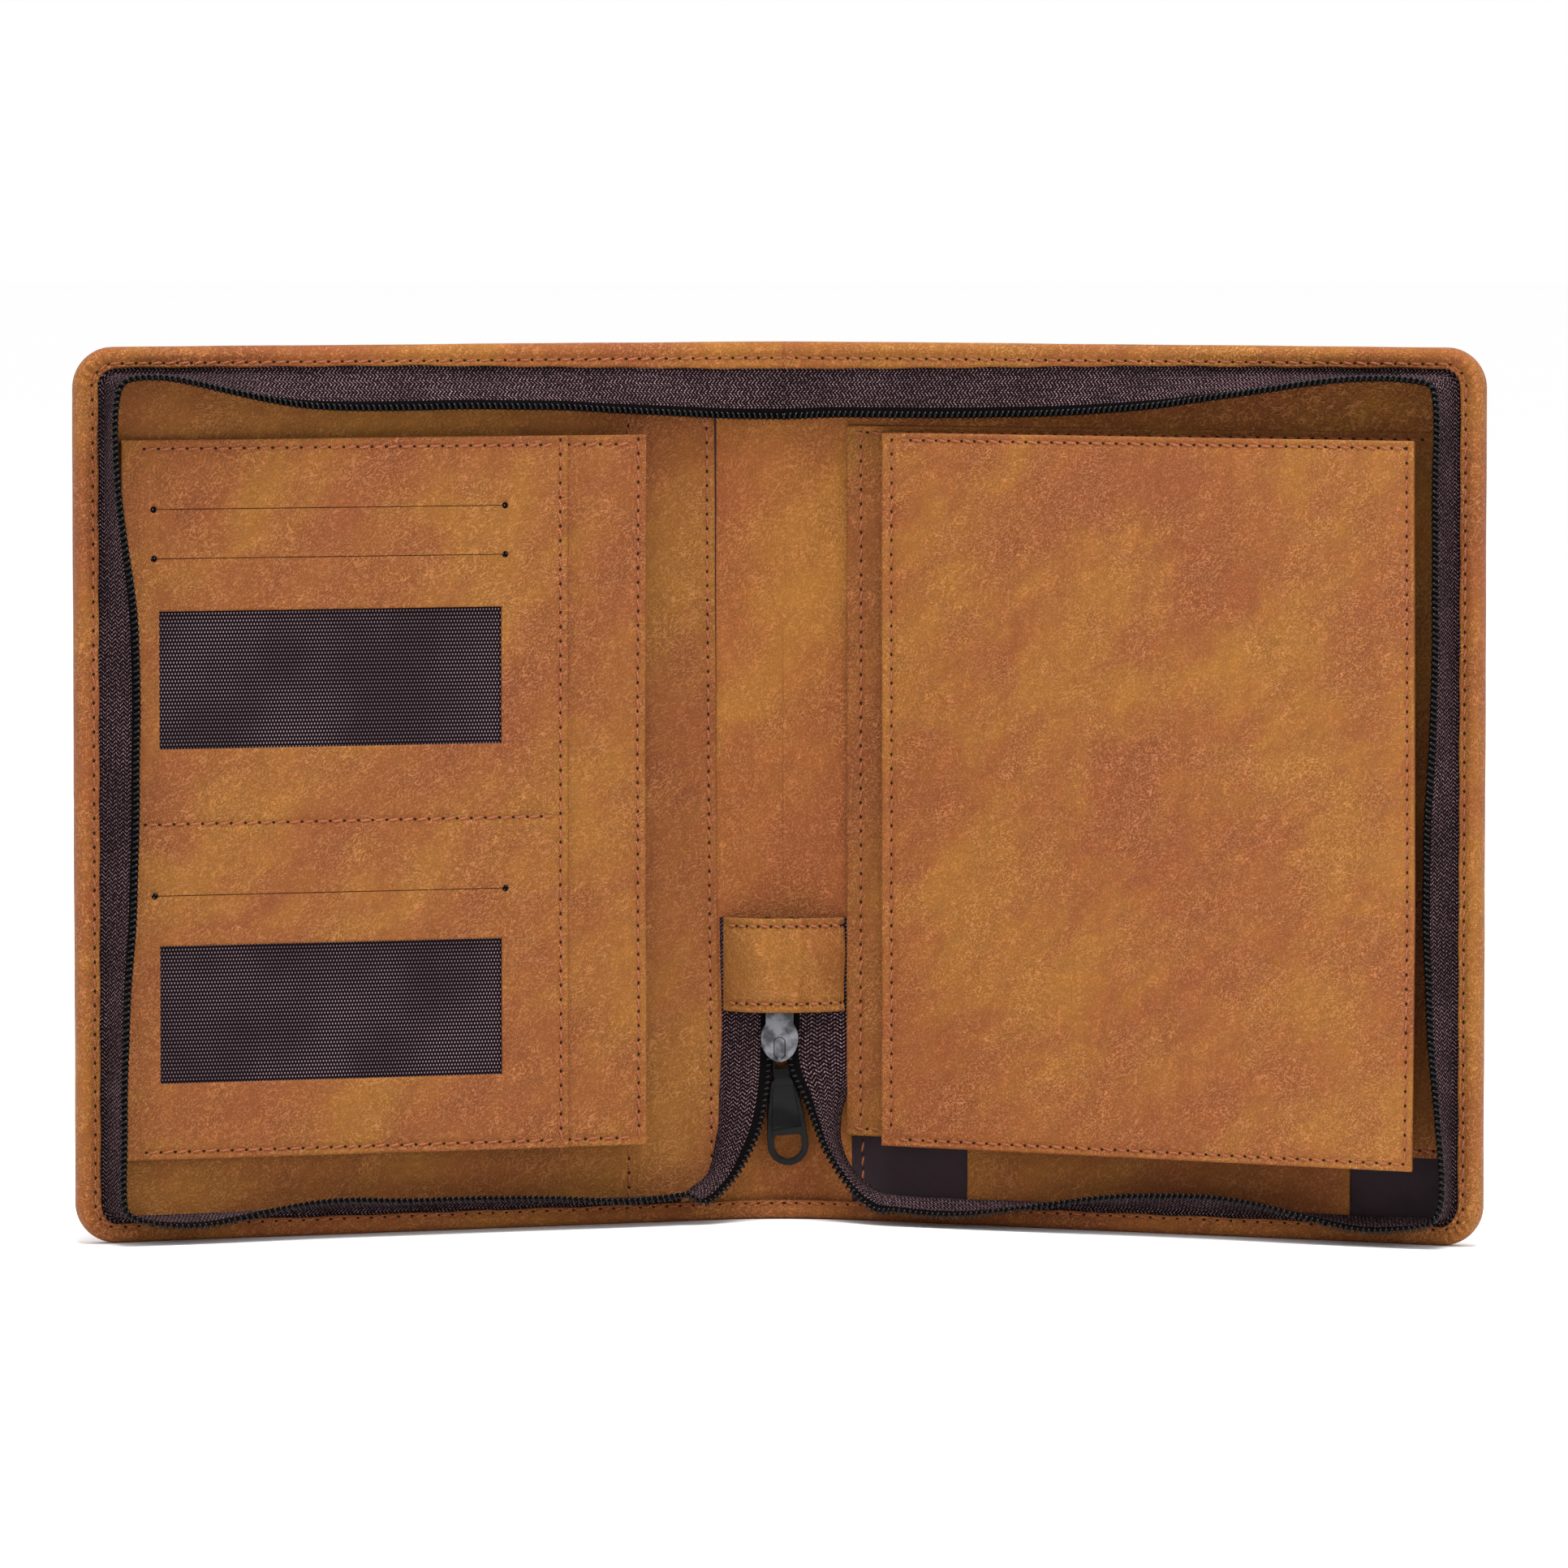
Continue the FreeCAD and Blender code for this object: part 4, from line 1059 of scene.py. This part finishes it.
def smooth(values, width):
    """A bell-shaped running average that keeps its ends."""
    pad = np.pad(values, [(width, width)] + [(0, 0)] * (values.ndim - 1), mode="reflect", reflect_type="odd")
    kernel = np.hanning(2 * width + 1)
    kernel /= kernel.sum()
    flat = pad.reshape(len(pad), -1)
    return np.stack([np.convolve(row, kernel, "valid") for row in flat.T], -1).reshape(values.shape)


def zip_stations(side):
    """Where the tape leaves the lip, from the middle of the spine round to the tail: place, inward, lean."""
    out = []
    for u in np.arange(SPINE_START, COVER_WIDTH - CORNER, 1.0):
        out.append((u, HEIGHT - LIP_TOP - deeper(u) - TAPE_IN, 0, -1, np.interp(u, *zip(*LEAN_TOP[side]))))
    out += zip_corner(side, True)
    for z in np.arange(HEIGHT - CORNER, CORNER, -1.0):
        out.append((COVER_WIDTH - LIP_SIDE - TAPE_IN, z, -1, 0, np.interp(z, *zip(*LEAN_SIDE[side]))))
    out += zip_corner(side, False)
    for u in np.arange(COVER_WIDTH - CORNER, TAIL_START[side], -1.0):
        out.append((u, LIP_BOTTOM + TAPE_IN, 0, 1, np.interp(u, *zip(*LEAN_BOTTOM[side]))))
    return np.array(out)


def zip_corner(side, top):
    """The same at a rounded corner, which the tape passes on a quarter of an ellipse."""
    centre = (COVER_WIDTH - CORNER, HEIGHT - CORNER if top else CORNER)
    out_reach = CORNER - LIP_SIDE - TAPE_IN
    reach = CORNER - (LIP_TOP if top else LIP_BOTTOM) - TAPE_IN
    sign = 1 if top else -1
    level = (LEAN_TOP if top else LEAN_BOTTOM)[side][-1][1]
    out = []
    for t in np.linspace(0, 1, 14)[1:-1]:
        a = t * math.pi / 2
        c, s = sign * math.cos(a), math.sin(a)
        out.append((centre[0] + out_reach * s, centre[1] + reach * c, -s, -c, level + (90 - level) * t))
    return out if top else out[::-1]


def corner_middles(st):
    """The stations in the middle of each rounded corner."""
    turning = np.where((np.abs(st[:, 2]) > 0.01) & (np.abs(st[:, 3]) > 0.01))[0]
    groups = np.split(turning, np.where(np.diff(turning) > 1)[0] + 1)
    return [float(np.mean(g)) for g in groups]


def tape_rows(side):
    """The tape's own rows of points, from the spine's middle to the top of the tail, in the world."""
    st = zip_stations(side)
    run = np.arange(len(st))
    curl = sum(np.exp(-((run - c) / 8.0) ** 2) for c in corner_middles(st))
    lean = smooth(st[:, 4:5], 7)[:, 0]
    lean = np.radians(lean[0] + (lean - lean[0]) * step_between(0.0, 14.0, run) - 6.0 * curl)
    inward = unit(smooth(st[:, 2:4], 3))
    away = step_between(0.0, 20.0, run)
    lean = lean + away * (np.radians(1.6) * np.sin(run / 11.0 + side) + np.radians(0.8) * np.sin(run / 4.7))
    fine = np.linspace(0, TAPE_END, 64)
    bend = step_between(0.0, 2.4, fine)[None, :] * lean[:, None] + np.radians(9) * np.sin(
        np.pi * fine / TAPE_END)[None, :] * (away * np.sin(run / 23.0 + 2 * side))[:, None]
    runs = [np.cumsum(part * (fine > 0), 1) * fine[1] for part in (np.cos(bend), np.sin(bend))]
    rows = np.zeros((len(st), len(ACROSS), 3))
    for k, a in enumerate(ACROSS):
        d, w = (np.array([np.interp(a, fine, r) for r in part]) for part in runs)
        d, w = d + min(a, 0.0), w + TAPE_W
        row = np.stack([st[:, 0] + inward[:, 0] * d, w, st[:, 1] + inward[:, 1] * d], -1)
        rows[:, k] = smooth(row, max(1, int(a * 1.1)))
    world = book(side, rows)
    return np.concatenate([world, tail_rows(side, world)])


def tail_rows(side, world):
    """The tape's free tail, running on from the cover's bottom edge up under the band."""
    t = np.clip(ACROSS / COIL_AT, -0.3, 1.07)[:, None]
    knots = [world[-k] for k in (9, 5, 1)]
    for margin, full, coil in reversed(TAIL[side]):
        m, b, c = (np.array(p, float) for p in (margin, full, coil))
        arc = (1 - t) ** 2 * m + 2 * t * (1 - t) * b + t * t * c
        straight_on = m + np.array((side * 0.35, 0.05, 0.0)) * np.abs(ACROSS)[:, None]
        knots.append(spine_place(np.where(t < 0, straight_on, arc)))
    knots = np.array(knots)
    curve = catmull(knots, np.linspace(0, 1, 260))
    start = np.argmin(np.linalg.norm(curve[:, -1] - world[-1, -1], axis=1)) + 2
    return even(curve[start:], 1.0 * MM)


def ribbon(name, rows, half, material, side):
    """A thin closed strip on rows of points, with rounded long edges."""
    along = np.gradient(rows, axis=0)
    across = np.gradient(rows, axis=1)
    normal = unit(np.cross(across, along))
    thick = half * MM * crown(np.minimum(ACROSS - ACROSS[0], ACROSS[-1] - ACROSS), 0.3)[:, None]
    n, m = rows.shape[:2]
    points = np.concatenate([(rows + normal * thick).reshape(-1, 3), (rows - normal * thick).reshape(-1, 3)])
    faces = np.concatenate([grid(n, m), grid(n, m)[:, ::-1] + n * m])
    caps = [(base + k, base + k + 1, n * m + base + k + 1, n * m + base + k)
            for base in (0, (n - 1) * m) for k in range(m - 1)]
    run = run_along(rows[:, m // 2]) / MM
    strip = np.stack(np.broadcast_arrays(side * run[:, None], ACROSS[None, :], 0.0), -1).reshape(-1, 3)
    obj = make_object(name, points, [*faces.tolist(), *caps], material, strip=np.concatenate([strip, strip]))
    weld(obj, 1e-6, SHIFT[0] * MM, 0.3 * MM)
    return obj, run[-1]


PITCH = 1.63
COIL_WIRE = 0.39
COIL_SIDES = 6
COIL_STEPS = 12
COIL_ROW = int(np.argmin(np.abs(ACROSS - COIL_AT)))


def coil(name, rows):
    """The zip's teeth: one long wire wound round the tape's edge, standing out on the side that shows."""
    lead = rows[:, COIL_ROW]
    path = even(lead, PITCH / COIL_STEPS * MM)
    arc = run_along(lead)
    at = np.linspace(0, arc[-1], len(path))
    reach = smooth(unit(rows[:, COIL_ROW] - rows[:, COIL_ROW - 2]), 2)
    reach = unit(read_at(at, arc, reach))
    tangent = unit(np.gradient(path, axis=0))
    reach = unit(reach - tangent * np.sum(reach * tangent, -1, keepdims=True))
    front = np.cross(tangent, reach)
    front *= -np.sign(np.mean(front[:, 1]))
    turn = 2 * math.pi * at / (PITCH * MM)
    centre = (path + reach * (0.1 + 0.72 * np.cos(turn))[:, None] * MM
              + front * (0.42 + 0.66 * np.sin(turn))[:, None] * MM)
    heading = unit(np.gradient(centre, axis=0))
    side = unit(np.cross(heading, tangent))
    over = np.cross(heading, side)
    ring = np.linspace(0, 2 * math.pi, COIL_SIDES, endpoint=False)
    points = (centre[:, None] + (side[:, None] * np.cos(ring)[None, :, None]
                                 + over[:, None] * np.sin(ring)[None, :, None]) * COIL_WIRE * MM)
    strip = np.stack(np.broadcast_arrays((at / MM)[:, None], ring[None, :], 0.0), -1).reshape(-1, 3)
    return outward(make_object(name, points.reshape(-1, 3), tube(len(centre), COIL_SIDES), COIL, strip=strip))


def across_zip(obj):
    """Bakes the zip piece's place into its mesh."""
    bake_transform(obj)


for s in (LEFT, RIGHT):
    rows = tape_rows(s)
    tape, length = ribbon(f"zip_tape_{NAME[s]}_run", rows, 0.24, TAPE, s)
    for obj, kind in ((tape, "tape"), (coil(f"zip_coil_{NAME[s]}_run", rows), "coil")):
        across_zip(obj)
        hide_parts(f"zip_{kind}_spine_top", f"zip_tail_{kind}_{NAME[s]}",
                    *[f"zip_{kind}_{NAME[s]}_{part}" for part in ("top", "side", "bottom")])

# ---------------------------------------------------------------- garage band
# The band's section seen from above, from its left end round the front to its right end
BAND = np.array(((-16.8, -1.0), (-15.9, -2.2), (-13.6, -4.5), (-10.4, -6.9), (-7.0, -8.5), (-3.0, -8.9),
                 (1.0, -8.7), (4.6, -8.7), (6.2, -7.5), (8.6, -7.0), (11.2, -5.9), (13.6, -4.4), (15.6, -2.6),
                 (16.8, -1.0)))
BAND_RANGE = (57.3, 83.0)
BAND_CURVE = catmull(BAND, np.linspace(0, 1, 400))
BAND_RUN = run_along(BAND_CURVE)
BAND_LONG = float(BAND_RUN[-1])


def band_place(p):
    """Flat place on the band: along its section, up from its surface, height."""
    out = unit(np.stack([np.gradient(BAND_CURVE[:, 1]), -np.gradient(BAND_CURVE[:, 0])], -1))
    x, y, nx, ny = read_at(p[:, 0], BAND_RUN, np.hstack([BAND_CURVE, out])).T
    high = step_between(72.0, 83.0, p[:, 2])
    tuck = (0.35 * np.exp(-((p[:, 0] - 25.0) / 1.6) ** 2)
            + 0.25 * np.sin(p[:, 2] / 3.1) * step_between(22, 27, p[:, 0]))
    squeeze = 1 - 0.22 * high
    lift = p[:, 1] - tuck * (1 - high)
    return spine_place(np.stack([x + nx * lift, np.where(y < 0, y * squeeze, y) + ny * lift, p[:, 2]], -1))


BAND_SEAMS = (59.7, 80.8)
band_pad = Pad((0.0, BAND_LONG), BAND_RANGE, (-1.0, 0.0), 0.8, seams_z=BAND_SEAMS, radius=0.45)
lay(band_pad, "garage_band_leather", BAND_LEATHER, band_place, LEFT, lambda obj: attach(obj, "spine"),
    ["garage_band"], held="stretched", rests_on=["spine_lining_left", "spine_lining_right"])
band_thread = sew("garage_band_stitches", [straight(2.0, z, BAND_LONG - 2.0, z, -0.12) for z in BAND_SEAMS],
                  band_place, LEFT, pitch=3.3, long=1.2)
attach(band_thread, "spine")
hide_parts("thread_garage_band")

# ---------------------------------------------------------------- slider and pull tab
SLIDER_X = -1.2  # the slider stands a little to the left of the spine's middle
CHAIN_Y = -4.4  # the middle of the zip's closed chain
PLATE_GAP = 1.5  # from there to each plate
PLATE_THICK = 1.2
PULL_PIVOT = np.array((SLIDER_X, -0.7, 46.9))
PULL_SKEW = math.radians(-5.0)


def prism(name, outline, y, material):
    """An outline seen from the front, drawn out between two depths."""
    outline = np.asarray(outline, float)
    rings = [np.insert(outline, 1, depth, axis=1) for depth in y]
    return weld(make_object(name, np.concatenate(rings), tube(2, len(outline)), material), 1e-4)


def mark_edges(bm):
    """Keeps the edges sharp where two faces meet at more than a slight angle."""
    for e in bm.edges:
        e.smooth = len(e.link_faces) == 2 and e.calc_face_angle(0.0) < math.radians(34)


def solid(name, outline, y, material, bevel, segments=3, cutters=()):
    """A plate cut to an outline seen from the front, with its edges eased."""
    obj = prism(name, outline, y, material)
    for cutter in cutters:
        carve(obj, prism("cutter", *cutter, []))
    bake(obj, "BEVEL", width=bevel, segments=segments, limit_method="ANGLE", angle_limit=math.radians(40))
    return edit(obj, mark_edges)


def plant(obj, skew, body, node):
    """Moves a small part to its place, turned about the pull's pivot, attaches it to its body and hides the
    node it stands in for.
    """
    flat = points_of(obj.data)
    layer(obj.data, "grain_at", flat * MM)
    d = flat - PULL_PIVOT
    c, s = math.cos(skew), math.sin(skew)
    turned_to = np.stack([d[:, 0] * c + d[:, 2] * s, d[:, 1], d[:, 2] * c - d[:, 0] * s], -1)
    move(obj.data, spine_place(turned_to + PULL_PIVOT))
    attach(obj, body)
    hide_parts(node)


def arc_points(cx, cz, rx, rz, start, end, count):
    a = np.radians(np.linspace(start, end, count))
    return [(cx + rx * math.cos(t), cz + rz * math.sin(t)) for t in a]


def from_middle(*points):
    """Points given out from the slider's middle."""
    return [(SLIDER_X + a, z) for a, z in points]


def mirrored(half):
    """An outline's points, and the same points on the other side of the slider's middle, going back."""
    return half + [(2 * SLIDER_X - x, z) for x, z in reversed(half)]


def slab(x, half, low, high):
    """A rectangle seen from the front."""
    return [(x - half, low), (x + half, low), (x + half, high), (x - half, high)]


def capsule(cx, cz, half, reach):
    """A slot with round ends, upper end first."""
    return (arc_points(cx, cz + reach, half, half, 0, 180, 13)
            + arc_points(cx, cz - reach, half, half, 180, 360, 13))


# A plate of the slider: a rounded lower end, shoulders, a narrow neck above.
SHOULDER = from_middle((5.15, 51.4), (4.6, 53.0), (3.9, 54.2), (3.8, 61.0))
SHIELD = arc_points(SLIDER_X, 50.4, 5.2, 6.7, 180, 360, 25) + mirrored(SHOULDER)
POST = from_middle((-1.3, 46.4), (0, 45.4), (1.3, 46.4), (0.9, 52.2), (-0.9, 52.2))
FRONT_Y = CHAIN_Y - PLATE_GAP - PLATE_THICK
REAR_Y = CHAIN_Y + PLATE_GAP
BRIDGE_Z = (44.4, 45.9, 54.5, 56.0)  # the lower foot, then the upper one
FLANGE_Y = ((FRONT_Y + 1.0, CHAIN_Y - 0.6), (CHAIN_Y + 0.6, REAR_Y + 0.2))
FEET_Y = (REAR_Y + PLATE_THICK - 0.1, 0.6)
dimple = (capsule(SLIDER_X, 47.6, 1.5, 1.45), (FRONT_Y - 1, FRONT_Y + 0.75))
# Name, outline, depths, bevel, bevel steps and cutters of each piece
BODY_PARTS = [("slider_front_plate", SHIELD, (FRONT_Y, FRONT_Y + PLATE_THICK), 0.3, 3, [dimple]),
              ("slider_rear_plate", SHIELD, (REAR_Y, REAR_Y + PLATE_THICK), 0.3, 3, []),
              ("slider_post", POST, (FRONT_Y + 1.0, REAR_Y + 0.2), 0.12, 2, [])]
for k, (sign, y) in enumerate((a, b) for a in (-1, 1) for b in FLANGE_Y):
    flange = slab(SLIDER_X + sign * 4.75, 0.3, 47.8, 52.4)
    BODY_PARTS.append((f"slider_flange_{k + 1}", flange, y, 0.1, 2, []))
BRIDGE_PARTS = [("slider_bridge_bar", slab(SLIDER_X, 1.2, BRIDGE_Z[0], BRIDGE_Z[3]), (0.4, 1.6), 0.35, 3, [])]
for k in (0, 1):
    foot = slab(SLIDER_X, 1.2, *BRIDGE_Z[2 * k:2 * k + 2])
    BRIDGE_PARTS.append((f"slider_bridge_foot_{k + 1}", foot, FEET_Y, 0.2, 2, []))
for node, parts in (("slider_body", BODY_PARTS), ("slider_bridge", BRIDGE_PARTS)):
    for name, outline, y, bevel, steps, cutters in parts:
        plant(solid(name, outline, y, SLIDER, bevel, steps, cutters), 0.0, "slider", node)


TAB_Y = (-1.4, -0.1)
THROUGH = (-3, 3)
tab_side = from_middle((5.55, 22.4), (5.1, 28.0), (4.45, 34.0), (4.1, 37.0), (3.75, 37.9), (3.0, 38.4),
                       (2.6, 39.0), (2.6, 47.6))
tab_outline = arc_points(SLIDER_X, 20.5, 5.6, 5.6, 180, 360, 25) + mirrored(tab_side)
hole = arc_points(SLIDER_X, 20.4, 3.75, 3.6, 180, 360, 21) + mirrored(from_middle((3.75, 22.6), (3.3, 23.2)))
eye = slab(SLIDER_X, 1.7, 41.5, 46.1)
sunk = mirrored(from_middle((3.9, 25.4), (3.2, 33.6), (2.8, 36.6)))
tab = solid("pull_tab_body", tab_outline, TAB_Y, PULL, 0.28, 3, [
    (hole, THROUGH), (eye, THROUGH), (sunk, (THROUGH[0], TAB_Y[0] + 0.3))])
plant(tab, PULL_SKEW, "pull_tab", "pull_tab")

# ---------------------------------------------------------------- what stays from the CAD model
for name, material in (("left_cover_board", BOARD), ("right_cover_board", BOARD), ("left_cover_foam", FOAM),
                       ("right_cover_foam", FOAM), ("spine_padding", FOAM)):
    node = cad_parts[name]
    node.data.materials.clear()
    node.data.materials.append(material)


# ---------------------------------------------------------------- floor, light and camera
def floor_material():
    g = Graph("studio_floor", Specular_IOR_Level=0.15)
    at = g.add("TexCoord", 3)
    g.colour(g.mix(g.noise(at, 0.8), (0.985, 0.985, 0.988, 1.0), (0.995, 0.995, 0.995, 1.0)))
    g.rough(0.9)
    return g.mat


bpy.ops.mesh.primitive_plane_add(size=30.0)
floor = bpy.context.object
floor.name = "studio_floor"
floor.data.materials.append(floor_material())

world = bpy.data.worlds.new("studio")
bpy.context.scene.world = world
world.use_nodes = True
world.node_tree.nodes["Background"].inputs[0].default_value = (1.0, 1.0, 1.0, 1.0)
world.node_tree.nodes["Background"].inputs[1].default_value = 1.0


def softbox(name, place, size, power):
    """A square area light aimed at the middle of the book."""
    data = bpy.data.lights.new(name, "AREA")
    data.shape, data.size, data.energy = "SQUARE", size, power
    lamp = bpy.data.objects.new(name, data)
    lamp.location = place
    lamp.rotation_mode = "QUATERNION"
    lamp.rotation_quaternion = (LIT_AT - Vector(place)).to_track_quat("-Z", "Y")
    bpy.context.scene.collection.objects.link(lamp)


LIT_AT = Vector((0, 0, HEIGHT / 2 * MM))
softbox("key_above", (0.1, -0.38, 1.75), 0.9, 38.0)
softbox("fill_right", (1.4, -1.3, 0.7), 0.7, 4.0)

CAMERA_FAR = 3.0
CAMERA_UP = math.radians(3.6)
AIM = Vector((SHIFT[0] * MM, SHIFT[1] * MM, 119.3 * MM))
camera_data = bpy.data.cameras.new("camera")
camera_data.sensor_width = 36.0
camera_data.lens = 252.4
camera = bpy.data.objects.new("camera", camera_data)
camera.location = AIM + Vector((0, -math.cos(CAMERA_UP), math.sin(CAMERA_UP))) * CAMERA_FAR
camera.rotation_mode = "QUATERNION"
camera.rotation_quaternion = (AIM - camera.location).to_track_quat("-Z", "Y")
camera_data.clip_end = 100.0
bpy.context.scene.collection.objects.link(camera)
bpy.context.scene.camera = camera
bpy.context.scene.view_settings.view_transform = "Standard"
